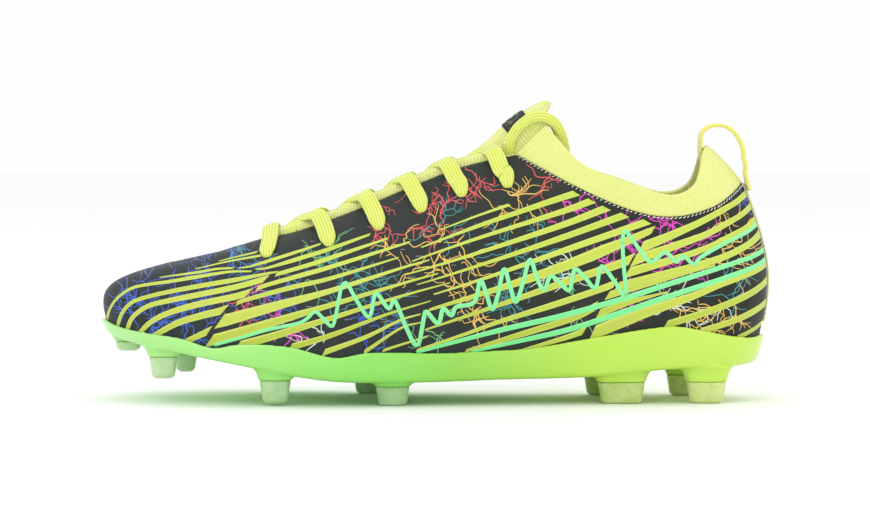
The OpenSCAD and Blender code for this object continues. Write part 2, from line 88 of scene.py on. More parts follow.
# Stations along the feather line, heel centre to toe tip:
# [x, lateral half width, medial half width, rise, lean, reach, top slope]
STATIONS = [
    [134.5, 0, 0, 34, 15, 34, 70], [128, 17.5, 17.5, 32, 13, 32, 72], [113.5, 27.5, 27, 28, 10, 28, 76],
    [95, 31, 30, 24, 8, 24, 80], [76, 32, 30, 24, 7, 26, 80], [55, 33, 28.5, 26, 7, 32, 72],
    [32, 35, 28, 27, 8, 36, 50], [12, 37.5, 29.5, 25, 8, 32, 38], [-9, 40.5, 33, 22, 9, 29, 32],
    [-31, 43, 37.5, 19, 10, 27, 27], [-54, 43.5, 42, 17, 10, 25, 20], [-71, 42.5, 43, 15, 10, 25, 12],
    [-87, 39.5, 42.5, 14, 10, 25, 4], [-104, 33.5, 40, 13.5, 10, 24, 5], [-118.5, 25, 34.5, 13.5, 13, 25, 7],
    [-130.5, 14.5, 26.5, 14, 17, 26, 10], [-137, 3.5, 16.5, 14.5, 20, 27, 13], [-138.4, -6, 6, 15, 20, 28, 14],
]
TOE = len(STATIONS) - 1
LOOP = 2 * TOE
COLLAR_END = 6
THROAT_END = 12
RIDGE_TILT = 14

# Top line of the skin: collar seam, throat edge and vamp ridge, one point per station
COLLAR = [[129.3, 0, 91.3], [124.5, 11.5, 86.8], [115.5, 20.5, 81.2], [100, 27.5, 77.6],
          [83, 29.8, 79.8], [60, 27.5, 89.2], [33.5, 16, 103.2]]
THROAT = [[33.5, 16, 103.2], [12, 13.8, 98.3], [-9, 13.2, 90.3], [-31, 12.6, 81],
          [-54, 11.8, 72.4], [-68, 9, 68.8], [-73.5, 0, 67.6]]
RIDGE = [[-73.5, 0, 67.6], [-84, 0.6, 64.4], [-93, 1.6, 61.7], [-101, 2.6, 60], [-107, 3.4, 58.6],
         [-112, 4, 57.6]]

# Heights along x: feather line, top and bottom edge of the plate
FEATHER = [[-145, 35.5], [-137, 32], [-122, 27.5], [-97, 23], [-76, 19.2], [-57, 16], [-38, 13.6],
           [-6, 13], [27, 14], [65, 15.5], [97, 17.5], [125, 18.6], [140, 19]]
PLATE_TOP = [[-141, 35], [-131, 31.6], [-117, 29.4], [-105, 28], [-91, 24.3], [-82, 25.8], [-70, 26],
             [-58, 24.8], [-41, 20.7], [-28, 22.7], [0, 22.4], [16, 22.8], [40, 24.2], [65, 28.4],
             [93, 32.8], [102, 32.6], [121, 28.6], [130, 27.4], [141, 29]]
PLATE_BASE = [[-141, 29], [-134, 26.5], [-124, 24.4], [-97, 19.8], [-76, 16], [-57, 12.4], [-38, 10.2],
              [-6, 9.9], [27, 10.7], [65, 11.6], [98, 14.6], [131, 15.4], [141, 16]]
PLATE_WALL_GAP = 0.35
PLATE_WALL = 1.7

# Collar's upper edge, from the heel to the front corner
COLLAR_TOP = [[114.8, 0, 107.6], [113, 11, 104.4], [108.5, 21, 91.6], [97.5, 25.6, 87.2],
              [80, 27.6, 92.4], [61, 24.6, 100], [46, 16.8, 115.6]]
COLLAR_T = 3.3

# Centre of the tongue: [x, z, half width share, crown share]
TONGUE = [[-84, 57.6, 0.8, 0.8], [-74, 61.6, 0.86, 0.84], [-62, 67.8, 0.94, 0.9], [-54, 72, 1, 1],
          [-31, 82.6, 1, 1], [-9, 92.4, 1, 1], [8, 99.8, 1, 1], [17, 105.2, 0.8, 0.94], [24, 111, 0.55, 0.72],
          [27.6, 114.4, 0.57, 0.62], [32, 117.8, 0.62, 0.58], [37, 121.4, 0.64, 0.54],
          [43, 124.7, 0.64, 0.46], [48, 126.3, 0.56, 0.36]]
TONGUE_CROWN = 14
TONGUE_HALF_W = 17
TONGUE_T = 2.4

# Pull loop's centreline in the heel's middle plane: [x, z]
LOOP_FRONT = [[112.6, 99.4], [111.8, 102], [111.4, 104.8], [111.5, 107.4]]
LOOP_FREE = [[111.6, 110.6], [112.4, 112.6], [114.6, 114.6], [118, 115.4], [122, 114.9], [125.5, 112.7],
             [128.3, 108.6], [129.6, 104.8], [129.9, 101.8]]
LOOP_REAR = [[130.6, 98], [130.5, 95], [131, 92.6]]
LOOP_SEWN = [[131.5, 90.4], [132.3, 88.2]]
LOOP_W = 9
LOOP_T = 1.4

# Eyelets: [station, share of the way up the skin], toe end first
EYELETS = [[11, 0.8], [9.55, 0.815], [8.7, 0.83], [7.9, 0.85], [7.1, 0.87], [6.2, 0.89]]

# Free lace ends, from the last eyelet over the collar's front and down into the shoe
TAIL = [[30, 12.2, 96], [30.4, 11.6, 100], [30.7, 12.9, 103.6], [31.3, 14.1, 108.8], [33.6, 14.4, 113.2],
        [36.4, 14.6, 116.2], [40, 14.6, 118.6], [44.5, 14.2, 119.2], [48.6, 13.6, 117.6], [51.6, 12.8, 114],
        [53.4, 12, 109], [54.6, 11.6, 102], [55.6, 11.5, 93], [56.4, 11.6, 84], [57, 11.9, 75],
        [57.4, 12.2, 66], [57.2, 12.5, 56], [56, 12.4, 46], [53, 12.1, 37], [47.6, 11.9, 29], [40, 12, 24],
        [32, 12.3, 22.2], [31, 12.4, 22.2]]

# Depths of the upper's layers below the skin's outer face
SKIN_T = 1.2
UNDER_SKIN = -1.4
FILLER_IN = -2.6
LINING_OUT = -2.8
LINING_IN = -3.6
PAD_EXTRA = 2.4

# ---- curves and the skin's surface: w runs heel, lateral, toe, medial; v from feather line to top ----

UP = np.array([0.0, 0.0, 1.0])


def unit(a):
    return a / np.maximum(np.linalg.norm(a, axis=-1, keepdims=True), 1e-9)


def spline(a, b, c, d, t):
    bend = (2 * a - 5 * b + 4 * c - d) * t ** 2
    twist = (3 * b - a - 3 * c + d) * t ** 3
    return 0.5 * (2 * b + (c - a) * t + bend + twist)


def along(points, s, before=None, after=None):
    """Points at parameters s of a list, with a phantom point before and after its ends."""
    pts = np.array(points, float)
    first = 2 * pts[0] - pts[1] if before is None else np.array(before, float)
    last = 2 * pts[-1] - pts[-2] if after is None else np.array(after, float)
    ext = np.vstack([first, pts, last])
    s = np.asarray(s, float)
    i = np.clip(np.floor(s).astype(int), 0, len(pts) - 2)
    return spline(ext[i], ext[i + 1], ext[i + 2], ext[i + 3], (s - i)[..., None])


def resample(points, step):
    """A smooth line through the points, with a point about every step."""
    pts = np.array(points, float)
    fine = along(pts, np.linspace(0, len(pts) - 1, 16 * len(pts)))
    gone = np.r_[0, np.cumsum(np.linalg.norm(np.diff(fine, axis=0), axis=1))]
    count = max(3, int(round(gone[-1] / step)) + 1)
    want = np.linspace(0, gone[-1], count)
    return np.stack([np.interp(want, gone, fine[:, k]) for k in range(fine.shape[1])], axis=1)


def height(table, x):
    tab = np.array(table, float)
    xs, zs = tab[:, 0], tab[:, 1]
    i = np.clip(np.searchsorted(xs, x, side="right") - 1, 0, len(xs) - 2)
    j0, j3 = np.maximum(i - 1, 0), np.minimum(i + 2, len(xs) - 1)
    h = xs[i + 1] - xs[i]
    slope_a = (zs[i + 1] - zs[j0]) / (xs[i + 1] - xs[j0])
    slope_b = (zs[j3] - zs[i]) / (xs[j3] - xs[i])
    t = np.clip((x - xs[i]) / h, 0, 1)
    rise = (t ** 3 - 2 * t ** 2 + t) * h * slope_a + (t ** 3 - t ** 2) * h * slope_b
    return (2 * t ** 3 - 3 * t ** 2 + 1) * zs[i] + (3 * t ** 2 - 2 * t ** 3) * zs[i + 1] + rise


def mirror_y(p):
    return [p[0], -p[1], p[2]]


def ring_table():
    lateral = [[r[0], -r[1], r[3], r[4], r[5], r[6]] for r in STATIONS]
    medial = [[r[0], r[2], r[3], r[4], r[5], r[6]] for r in STATIONS[1:-1]]
    return np.array(lateral + medial[::-1], float)


RING = ring_table()


def row(w):
    i = np.floor(w).astype(int)
    a, b, c, d = [RING[(i + k) % LOOP] for k in (-1, 0, 1, 2)]
    return spline(a, b, c, d, (w - i)[..., None])


def outward(w):
    run = row(w + 0.1) - row(w - 0.1)
    return unit(np.stack([-run[..., 1], run[..., 0], 0 * w], axis=-1))


def station(w):
    m = w % LOOP
    return np.where(m <= TOE, m, LOOP - m)


def crest(w):
    u = station(w)
    side = np.where(w % LOOP <= TOE, LATERAL, MEDIAL)
    low = along(COLLAR, np.clip(u, 0, COLLAR_END), before=mirror_y(COLLAR[1]))
    mid = along(THROAT, np.clip(u - COLLAR_END, 0, 6), after=mirror_y(THROAT[5]))
    top = along(RIDGE, np.clip(u - THROAT_END, 0, 5))
    p = np.where((u <= COLLAR_END)[..., None], low, np.where((u <= THROAT_END)[..., None], mid, top))
    p[..., 1] *= np.where(u < THROAT_END, side, 1)
    return p


def controls(w, d):
    r, h, d = row(w), outward(w), d[..., None]
    lean, slope = np.radians(r[..., 3:4]), np.radians(r[..., 5:6])
    tilt = math.radians(RIDGE_TILT)
    ridge = np.array([-math.sin(tilt), 0, math.cos(tilt)])
    normal = np.where((station(w) >= THROAT_END)[..., None], ridge, h * np.sin(slope) + UP * np.cos(slope))
    foot = np.stack([r[..., 0], r[..., 1], height(FEATHER, r[..., 0])], axis=-1)
    b, t = foot + d * h, crest(w) + d * normal
    low = b + r[..., 2:3] * (h * np.sin(lean) + UP * np.cos(lean))
    high = t + r[..., 4:5] * (h * np.cos(slope) - UP * np.sin(slope))
    return b, low, high, t


def skin_at(w, v, d=0.0):
    w, v, d = np.broadcast_arrays(np.asarray(w, float), np.asarray(v, float), np.asarray(d, float))
    b, low, high, t = controls(w, d)
    v = v[..., None]
    return (1 - v) ** 3 * b + 3 * v * (1 - v) ** 2 * low + 3 * v ** 2 * (1 - v) * high + v ** 3 * t


def bump(x, lo, hi):
    inside = (x > lo) & (x < hi)
    return np.where(inside, np.sin(math.pi * (x - lo) / (hi - lo)) ** 2, 0)


def pad_depth(w, v):
    return PAD_EXTRA * bump(station(w), 1, 6) * bump(v, 0.3, 1.12)


def eyelet_w(k, side):
    return EYELETS[k][0] if side == LATERAL else LOOP - EYELETS[k][0]


def eyelet_point(k, side, d):
    return skin_at(eyelet_w(k, side), EYELETS[k][1], d)


def edge_point(k, side, d):
    return skin_at(eyelet_w(k, side), 1.0, d)


# ---- mesh helpers ----


def make_object(name, points, faces, weave=None, tint=None, tidy=False):
    """A mesh from points in millimetres; weave and tint become attributes that materials read."""
    mesh = bpy.data.meshes.new(name)
    mesh.from_pydata((np.asarray(points) * MM).tolist(), [], np.asarray(faces).tolist() if
                     isinstance(faces, np.ndarray) else faces)
    for key, data in (("weave", weave), ("tint", tint)):
        if data is not None:
            layer = mesh.attributes.new(key, "FLOAT_VECTOR", "POINT")
            layer.data.foreach_set("vector", np.asarray(data, np.float32).ravel())
    if tidy:
        work = bmesh.new()
        work.from_mesh(mesh)
        bmesh.ops.remove_doubles(work, verts=work.verts, dist=1e-6)
        bmesh.ops.recalc_face_normals(work, faces=work.faces)
        work.to_mesh(mesh)
        work.free()
    mesh.shade_smooth()
    obj = bpy.data.objects.new(name, mesh)
    bpy.context.scene.collection.objects.link(obj)
    return obj


def quads(rows, cols, wrap_rows=False, wrap_cols=False, base=0, flip=False):
    i = np.arange(rows if wrap_rows else rows - 1)
    j = np.arange(cols if wrap_cols else cols - 1)
    i, j = [a.ravel() for a in np.meshgrid(i, j, indexing="ij")]
    i2, j2 = (i + 1) % rows, (j + 1) % cols
    face = np.stack([i * cols + j, i2 * cols + j, i2 * cols + j2, i * cols + j2], axis=1) + base
    return face[:, ::-1] if flip else face


def tube(name, rings, weave=None, tidy=False):
    """A closed tube through rings of points, with a cap at each end."""
    rings = np.asarray(rings)
    n, m = rings.shape[:2]
    faces = quads(n, m, wrap_cols=True).tolist()
    faces.append(list(range(m))[::-1] if False else list(range(m)))
    faces.append([(n - 1) * m + k for k in range(m)][::-1])
    flat = None if weave is None else np.asarray(weave).reshape(-1, 3)
    return make_object(name, rings.reshape(-1, 3), faces, weave=flat, tidy=tidy)


def sheet_solid(name, outer, inner, weave=None):
    """A closed solid between two grids of points."""
    outer, inner = np.asarray(outer), np.asarray(inner)
    n, m = outer.shape[:2]
    base = n * m
    faces = [quads(n, m), quads(n, m, base=base, flip=True)]
    i, j = np.arange(n - 1), np.arange(m - 1)
    for col in (0, m - 1):
        a = np.stack([i * m + col, (i + 1) * m + col, base + (i + 1) * m + col, base + i * m + col], axis=1)
        faces.append(a[:, ::-1] if col == 0 else a)
    for line in (0, n - 1):
        a = np.stack([line * m + j, line * m + j + 1, base + line * m + j + 1, base + line * m + j], axis=1)
        faces.append(a if line == 0 else a[:, ::-1])
    points = np.concatenate([outer.reshape(-1, 3), inner.reshape(-1, 3)])
    data = None
    if weave is not None:
        flat = np.asarray(weave).reshape(-1, 3)
        data = np.concatenate([flat, flat])
    return make_object(name, points, np.concatenate(faces), weave=data, tidy=True)


def upper_shell(name, out, into, steps_w, steps_v):
    """One wall all round the foot, joined along the vamp ridge and open at the throat and collar."""
    w = np.arange(steps_w)[:, None] * LOOP / steps_w
    v = np.linspace(0, 1, steps_v + 1)[None, :]
    outer = skin_at(w, v, out(w, v))
    inner = skin_at(w, v, into(w, v))
    n, m = steps_w, steps_v + 1
    base = n * m
    faces = [quads(n, m, wrap_rows=True), quads(n, m, wrap_rows=True, base=base, flip=True)]
    i = np.arange(n)
    i2 = (i + 1) % n
    foot = np.stack([i * m, base + i * m, base + i2 * m, i2 * m], axis=1)
    faces.append(foot)
    middle = station((i + 0.5) * LOOP / n) < THROAT_END
    a, a2 = i[middle] * m + m - 1, i2[middle] * m + m - 1
    faces.append(np.stack([a, a2, base + a2, base + a], axis=1))
    points = np.concatenate([outer.reshape(-1, 3), inner.reshape(-1, 3)])
    return make_object(name, points, np.concatenate(faces), tidy=True)


# ---- materials ----


def linear(rgb):
    """Scene colour of an 8-bit display colour."""
    c = [v / 255 for v in rgb]
    return tuple(v / 12.92 if v <= 0.04045 else ((v + 0.055) / 1.055) ** 2.4 for v in c) + (1,)


class Graph:
    """A Principled material and short calls that add nodes to it."""

    def __init__(self, name, rgb, rough, **sockets):
        self.material = bpy.data.materials.new(name)
        self.material.use_nodes = True
        self.tree = self.material.node_tree
        self.shader = self.tree.nodes["Principled BSDF"]
        self.shader.inputs["Base Color"].default_value = linear(rgb)
        self.shader.inputs["Roughness"].default_value = rough
        for key, value in sockets.items():
            self.shader.inputs[key.replace("_", " ")].default_value = value
        self.bump_end = None

    def node(self, kind, **values):
        node = self.tree.nodes.new(kind)
        for key, value in values.items():
            setattr(node, key, value)
        return node

    def feed(self, socket, value):
        if hasattr(value, "is_output"):
            self.tree.links.new(value, socket)
        elif value is not None:
            socket.default_value = value

    def place(self):
        return self.node("ShaderNodeTexCoord").outputs["Object"]

    def attribute(self, name):
        split = self.node("ShaderNodeSeparateXYZ")
        source = self.node("ShaderNodeAttribute", attribute_name=name)
        self.feed(split.inputs[0], source.outputs["Vector"])
        return split.outputs

    def axes(self):
        split = self.node("ShaderNodeSeparateXYZ")
        self.feed(split.inputs[0], self.place())
        return split.outputs

    def math(self, operation, a, b=None, c=None):
        node = self.node("ShaderNodeMath", operation=operation)
        for socket, value in zip(node.inputs, (a, b, c)):
            self.feed(socket, value)
        return node.outputs[0]

    def scaled(self, factors):
        node = self.node("ShaderNodeVectorMath", operation="MULTIPLY")
        self.feed(node.inputs[0], self.place())
        node.inputs[1].default_value = factors
        return node.outputs[0]

    def noise(self, scale, detail=3.0, where=None, rough=0.55):
        node = self.node("ShaderNodeTexNoise")
        self.feed(node.inputs["Vector"], where or self.place())
        node.inputs["Scale"].default_value = scale
        node.inputs["Detail"].default_value = detail
        node.inputs["Roughness"].default_value = rough
        return node.outputs["Fac"]

    def cells(self, scale, feature="F1", where=None, output="Distance"):
        node = self.node("ShaderNodeTexVoronoi", feature=feature)
        self.feed(node.inputs["Vector"], where or self.place())
        node.inputs["Scale"].default_value = scale
        return node.outputs[output]

    def ramp(self, value, stops):
        node = self.node("ShaderNodeValToRGB")
        self.feed(node.inputs["Fac"], value)
        bar = node.color_ramp.elements
        while len(bar) < len(stops):
            bar.new(0.5)
        for element, (place, rgb) in zip(bar, stops):
            element.position = place
            element.color = linear(rgb)
        return node.outputs["Color"]

    def mix(self, amount, a, b, blend="MIX"):
        node = self.node("ShaderNodeMix", data_type="RGBA", blend_type=blend)
        self.feed(node.inputs["Factor"], amount)
        self.feed(node.inputs["A"], a)
        self.feed(node.inputs["B"], b)
        return node.outputs["Result"]

    def range(self, value, lo, hi, to_lo, to_hi):
        node = self.node("ShaderNodeMapRange")
        self.feed(node.inputs["Value"], value)
        for key, number in (("From Min", lo), ("From Max", hi), ("To Min", to_lo), ("To Max", to_hi)):
            node.inputs[key].default_value = number
        return node.outputs["Result"]

    def colour(self, value):
        self.feed(self.shader.inputs["Base Color"], value)

    def rough(self, value):
        self.feed(self.shader.inputs["Roughness"], value)

    def raise_by(self, value, millimetres, strength=1.0):
        node = self.node("ShaderNodeBump")
        node.inputs["Distance"].default_value = millimetres * MM
        node.inputs["Strength"].default_value = strength
        self.feed(node.inputs["Height"], value)
        if self.bump_end is not None:
            self.feed(node.inputs["Normal"], self.bump_end)
        self.bump_end = node.outputs["Normal"]
        self.feed(self.shader.inputs["Normal"], self.bump_end)


def ridges(g, value, pitch):
    """0 to 1 ridges along a coordinate in millimetres."""
    turn = g.math("MULTIPLY", value, 2 * math.pi / pitch)
    return g.math("MULTIPLY_ADD", g.math("SINE", turn), 0.5, 0.5)


def skin_material():
    g = Graph("skin_knit", (38, 44, 40), 0.62, Sheen_Weight=0.06, Sheen_Roughness=0.4, Specular_IOR_Level=0.35)
    x = g.axes()[0]
    base = g.ramp(g.range(x, -0.14, 0.14, 0, 1),
                  [(0, (30, 44, 42)), (0.35, (38, 44, 43)), (0.7, (38, 44, 34)), (1, (27, 32, 22))])
    grain = g.noise(900, 4)
    patch = g.noise(55, 3)
    base = g.mix(g.range(grain, 0.35, 0.7, 0, 0.35), base, linear((18, 22, 21)))
    base = g.mix(g.range(patch, 0.45, 0.75, 0, 0.22), base, linear((58, 72, 72)))
    g.colour(base)
    g.rough(g.range(patch, 0.3, 0.7, 0.52, 0.72))
    twill = g.scaled((1.0, 1.0, 1.6))
    g.raise_by(g.cells(1400, where=twill), 0.05, 0.5)
    g.raise_by(g.noise(2600, 2), 0.03, 0.4)
    return g.material


def print_material(name, body, edge, low, flecks=0.25):
    """Raised film print: tint x is 1 at a stripe's borders, y varies from stripe to stripe. The edge colour is a
    painted highlight on the borders and also tints whole stripes; the low colour is painted shade towards the bottom
    and the colour of worn flecks.
    """
    g = Graph(name, body, 0.42, Coat_Weight=0.08, Coat_Roughness=0.4)
    tint = g.attribute("tint")
    z = g.axes()[2]
    # painted shade: the print darkens towards the bottom, from z 60 mm down to 20 mm
    shaded_and_worn = g.mix(g.range(z, 0.02, 0.06, 0.85, 0), linear(body), linear(low))
    worn = g.range(g.noise(420, 5, rough=0.7), 0.52, 0.72, 0, flecks)
    shaded_and_worn = g.mix(worn, shaded_and_worn, linear(low))
    shaded_and_worn = g.mix(g.math("MULTIPLY", tint[1], 0.22), shaded_and_worn, linear(edge))
    # painted highlight along each stripe's borders
    g.colour(g.mix(g.math("MULTIPLY", tint[0], 0.75), shaded_and_worn, linear(edge)))
    g.raise_by(g.noise(2200, 2), 0.02, 0.4)
    return g.material


def knit_material(name, light, dark, pitch_a, pitch_b, rough=0.85, depth=0.16, glow=0.0):
    """Ribbed knit on the weave attribute: x runs along the ribs' course, y across it."""
    g = Graph(name, light, rough, Sheen_Weight=0.35, Sheen_Roughness=0.5)
    weave = g.attribute("weave")
    a = ridges(g, weave[0], pitch_a)
    shift = g.math("MULTIPLY_ADD", g.math("SINE", g.math("MULTIPLY", weave[0], math.pi / pitch_a)),
                   pitch_b / 4, weave[1])
    b = ridges(g, shift, pitch_b)
    stitch = g.math("MULTIPLY_ADD", b, 0.45, g.math("MULTIPLY", a, 0.55))
    fuzz = g.noise(1500, 3)
    # painted shade: the grooves between the stitches take the dark colour
    tone = g.mix(g.range(stitch, 0.0, 0.7, 1, 0), linear(light), linear(dark))
    tone = g.mix(g.range(g.noise(60, 2), 0.3, 0.7, 0, 0.25), tone, linear(dark))
    g.colour(g.mix(g.range(fuzz, 0.4, 0.8, 0, 0.2), tone, linear((255, 255, 225))))
    g.raise_by(stitch, depth, 0.9)
    g.raise_by(fuzz, 0.05, 0.4)
    return g.material


def lace_material():
    g = Graph("lace_braid", (228, 238, 112), 0.8, Sheen_Weight=0.3, Sheen_Roughness=0.5)
    weave = g.attribute("weave")
    rib = g.math("ABSOLUTE", g.math("SINE", g.math("MULTIPLY", weave[1], math.pi / 1.25)))
    slant = g.math("ABSOLUTE", g.math("SUBTRACT", g.math("FRACT", g.math("MULTIPLY", weave[1], 0.4)), 0.5))
    run = g.math("MULTIPLY_ADD", slant, 1.9, weave[0])
    stitch = ridges(g, run, 0.85)
    tall = g.math("MULTIPLY", g.math("POWER", rib, 0.6), g.math("MULTIPLY_ADD", stitch, 0.45, 0.55))
    # painted shade and painted highlight: the braid is darker in its grooves and lighter on its crests
    tone = g.ramp(tall, [(0, (176, 190, 52)), (0.45, (222, 233, 98)), (1, (238, 246, 140))])
    tone = g.mix(g.range(g.noise(70, 2), 0.3, 0.7, 0, 0.3), tone, linear((214, 226, 92)))
    g.colour(tone)
    g.raise_by(tall, 0.22, 0.9)
    g.raise_by(g.noise(2600, 2), 0.04, 0.4)
    return g.material


def plate_material():
    g = Graph("plate_green", (178, 238, 128), 0.26, Subsurface_Weight=0.12, Subsurface_Scale=0.004,
              Coat_Weight=0.25, Coat_Roughness=0.15, IOR=1.48)
    g.shader.inputs["Subsurface Radius"].default_value = (1.0, 1.0, 0.4)
    x = g.axes()[0]
    wave = g.math("MULTIPLY_ADD", g.noise(22, 2), 0.03, g.math("SUBTRACT", x, 0.015))
    base = g.ramp(g.range(wave, -0.141, 0.141, 0, 1),
                  [(0, (172, 232, 144)), (0.2, (158, 232, 118)), (0.42, (140, 222, 92)),
                   (0.55, (144, 212, 70)), (0.75, (186, 228, 66)), (1, (198, 234, 80))])
    grain = g.noise(40, 3, where=g.scaled((0.35, 1, 1)))
    base = g.mix(g.range(grain, 0.35, 0.75, 0, 0.12), base, linear((226, 250, 176)))
    g.colour(base)
    g.rough(g.range(grain, 0.3, 0.7, 0.2, 0.32))
    g.raise_by(g.noise(500, 3), 0.01, 0.4)
    return g.material


def tip_material():
    g = Graph("stud_frosted", (206, 232, 188), 0.3, IOR=1.45, Coat_Weight=0.2,
              Subsurface_Weight=0.3, Subsurface_Scale=0.003)
    x = g.axes()[0]
    base = g.ramp(g.range(x, -0.13, 0.12, 0, 1),
                  [(0, (190, 222, 170)), (0.5, (152, 194, 132)), (0.8, (180, 204, 110)), (1, (208, 222, 138))])
    haze = g.noise(240, 4)
    g.colour(g.mix(g.range(haze, 0.4, 0.75, 0, 0.3), base, linear((240, 248, 226))))
    g.rough(g.range(haze, 0.3, 0.7, 0.24, 0.42))
    g.raise_by(g.noise(700, 3), 0.01, 0.3)
    return g.material


def plain_fabric(name, rgb, dark, scale=900, rough=0.85, depth=0.08):
    g = Graph(name, rgb, rough, Sheen_Weight=0.2)
    grid = g.cells(scale)
    soft = g.noise(scale * 0.2, 4)
    tone = g.mix(g.range(grid, 0.1, 0.7, 0, 0.7), linear(rgb), linear(dark))
    g.colour(g.mix(g.range(soft, 0.4, 0.7, 0, 0.4), tone, linear(dark)))
    g.raise_by(grid, depth, 0.7)
    return g.material


def board_material(name, rgb, dark):
    """Pressed fibre board or stiffener: flecked and slightly rough."""
    g = Graph(name, rgb, 0.75)
    fibres = g.noise(500, 6, where=g.scaled((1, 4, 4)))
    g.colour(g.mix(g.range(fibres, 0.4, 0.65, 0, 0.6), linear(rgb), linear(dark)))
    g.raise_by(fibres, 0.08, 0.6)
    return g.material


def aglet_material():
    g = Graph("aglet_clear", (222, 236, 150), 0.16, Coat_Weight=0.6, Transmission_Weight=0.25)
    wrap = g.noise(300, 3, where=g.scaled((0.2, 1, 1)))
    g.colour(g.mix(g.range(wrap, 0.4, 0.7, 0, 0.4), linear((222, 236, 150)), linear((196, 212, 104))))
    g.raise_by(wrap, 0.05, 0.5)
    return g.material


def label_material():
    g = Graph("label_weave", (26, 27, 26), 0.7, Sheen_Weight=0.1)
    threads = g.cells(1600, where=g.scaled((1, 2.2, 1)))
    g.colour(g.mix(g.range(threads, 0.1, 0.6, 0, 0.6), linear((30, 31, 30)), linear((14, 15, 14))))
    g.raise_by(threads, 0.06, 0.7)
    return g.material


def floor_material():
    g = Graph("floor_paper", (250, 250, 250), 0.9)
    g.colour(g.mix(g.range(g.noise(9, 2), 0.3, 0.7, 0, 0.1), linear((252, 252, 252)), linear((247, 248, 248))))
    g.raise_by(g.noise(400, 2), 0.02, 0.2)
    return g.material


SKIN = skin_material()
# print colours: body, then a lighter one for the painted highlight on the borders, then a darker one for painted
# shade lower down and for worn flecks
STRIPE = print_material("print_lime", (194, 212, 70), (226, 239, 116), (168, 180, 44))
MINT = print_material("print_mint", (132, 242, 156), (164, 250, 184), (104, 222, 128), flecks=0.1)
CRACK_COLOURS = {
    "blue": (36, 78, 190), "teal": (36, 126, 130), "red": (206, 70, 76), "gold": (222, 176, 76),
    "magenta": (222, 52, 186), "white": (206, 222, 206), "green": (98, 168, 106), "grey": (112, 120, 118),
}
# each crack colour with a lighter copy for the painted highlight on the borders and a darker copy for painted shade
# lower down and for worn flecks
CRACK_MATERIALS = {
    key: print_material("print_" + key, rgb, tuple(min(255, c + 26) for c in rgb),
                        tuple(int(c * 0.72) for c in rgb), flecks=0.4)
    for key, rgb in CRACK_COLOURS.items()
}
COLLAR_KNIT = knit_material("collar_rib", (240, 245, 150), (208, 217, 96), 1.1, 0.9)
TONGUE_KNIT = knit_material("tongue_knit", (240, 244, 158), (204, 212, 100), 1.5, 1.2, depth=0.2)
WEBBING = knit_material("loop_webbing", (244, 238, 124), (220, 214, 90), 1.0, 1.3, depth=0.06)
HEEL_TAPE = knit_material("heel_tape", (232, 230, 172), (196, 196, 120), 0.9, 1.1, depth=0.12)
LACE = lace_material()
PLATE = plate_material()
TIP = tip_material()
LINING = plain_fabric("lining_mesh", (46, 48, 46), (20, 21, 20))
FACING = plain_fabric("facing_cloth", (30, 31, 30), (14, 14, 14), 700)
PADDING = plain_fabric("pad_foam", (226, 216, 120), (190, 180, 86), 500)
STIFFENER = board_material("stiffener_sheet", (198, 188, 160), (160, 148, 118))
BOARD = board_material("board_fibre", (214, 208, 184), (176, 166, 134))
FOAM = plain_fabric("sockliner_foam_cells", (64, 66, 64), (34, 35, 34), 600)
COVER = plain_fabric("sockliner_cloth", (206, 226, 84), (158, 182, 52), 1000)
STITCH = plain_fabric("seam_thread", (250, 250, 236), (214, 214, 190), 1500)
AGLET = aglet_material()
LABEL = label_material()
LABEL_THREAD = plain_fabric("label_thread", (196, 200, 176), (120, 124, 104), 1500)


def dress(obj, *materials):
    obj.data.materials.clear()
    for m in materials:
        obj.data.materials.append(m)


def add_piece(obj, body, slot, *materials, replaces=()):
    dress(obj, *materials)
    if body:
        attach(obj, body)
    if replaces:
        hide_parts(*replaces)
    return obj


# ---- swept strands: a flat or round section along a line, with a face direction at each point ----


def section(width, thick, count, power=2.6):
    """Half-round-edged flat outline in (across, up), starting at its underside's middle."""
    a = np.linspace(0, 2 * math.pi, count, endpoint=False) - math.pi / 2
    c, s = np.cos(a), np.sin(a)
    across = np.sign(c) * np.abs(c) ** (2 / power) * width / 2
    up = np.sign(s) * np.abs(s) ** (2 / power) * thick / 2
    return across, up


def sweep(line, face, widths, thicks, count=20, power=2.6, arch=0.0):
    """Rings and weave coordinates of a strand; face points out of its flat side."""
    run = unit(np.gradient(line, axis=0))
    side = unit(np.cross(face, run))
    face = unit(np.cross(run, side))
    gone = np.r_[0, np.cumsum(np.linalg.norm(np.diff(line, axis=0), axis=1))]
    rings, weave = [], []
    for k in range(len(line)):
        across, up = section(widths[k], thicks[k], count, power)
        lift = up - arch * (2 * across / max(widths[k], 0.1)) ** 2
        rings.append(line[k] + across[:, None] * side[k] + lift[:, None] * face[k])
        spread = np.abs(across) + np.where(up < 0, widths[k], 0)
        weave.append(np.stack([np.full(count, gone[k]), spread, 0 * spread], axis=1))
    return np.array(rings), np.array(weave)


# ---- free lace ends ----

TAIL_W = 4.4
TAIL_T = 2.6
TAIL_EXIT = 2


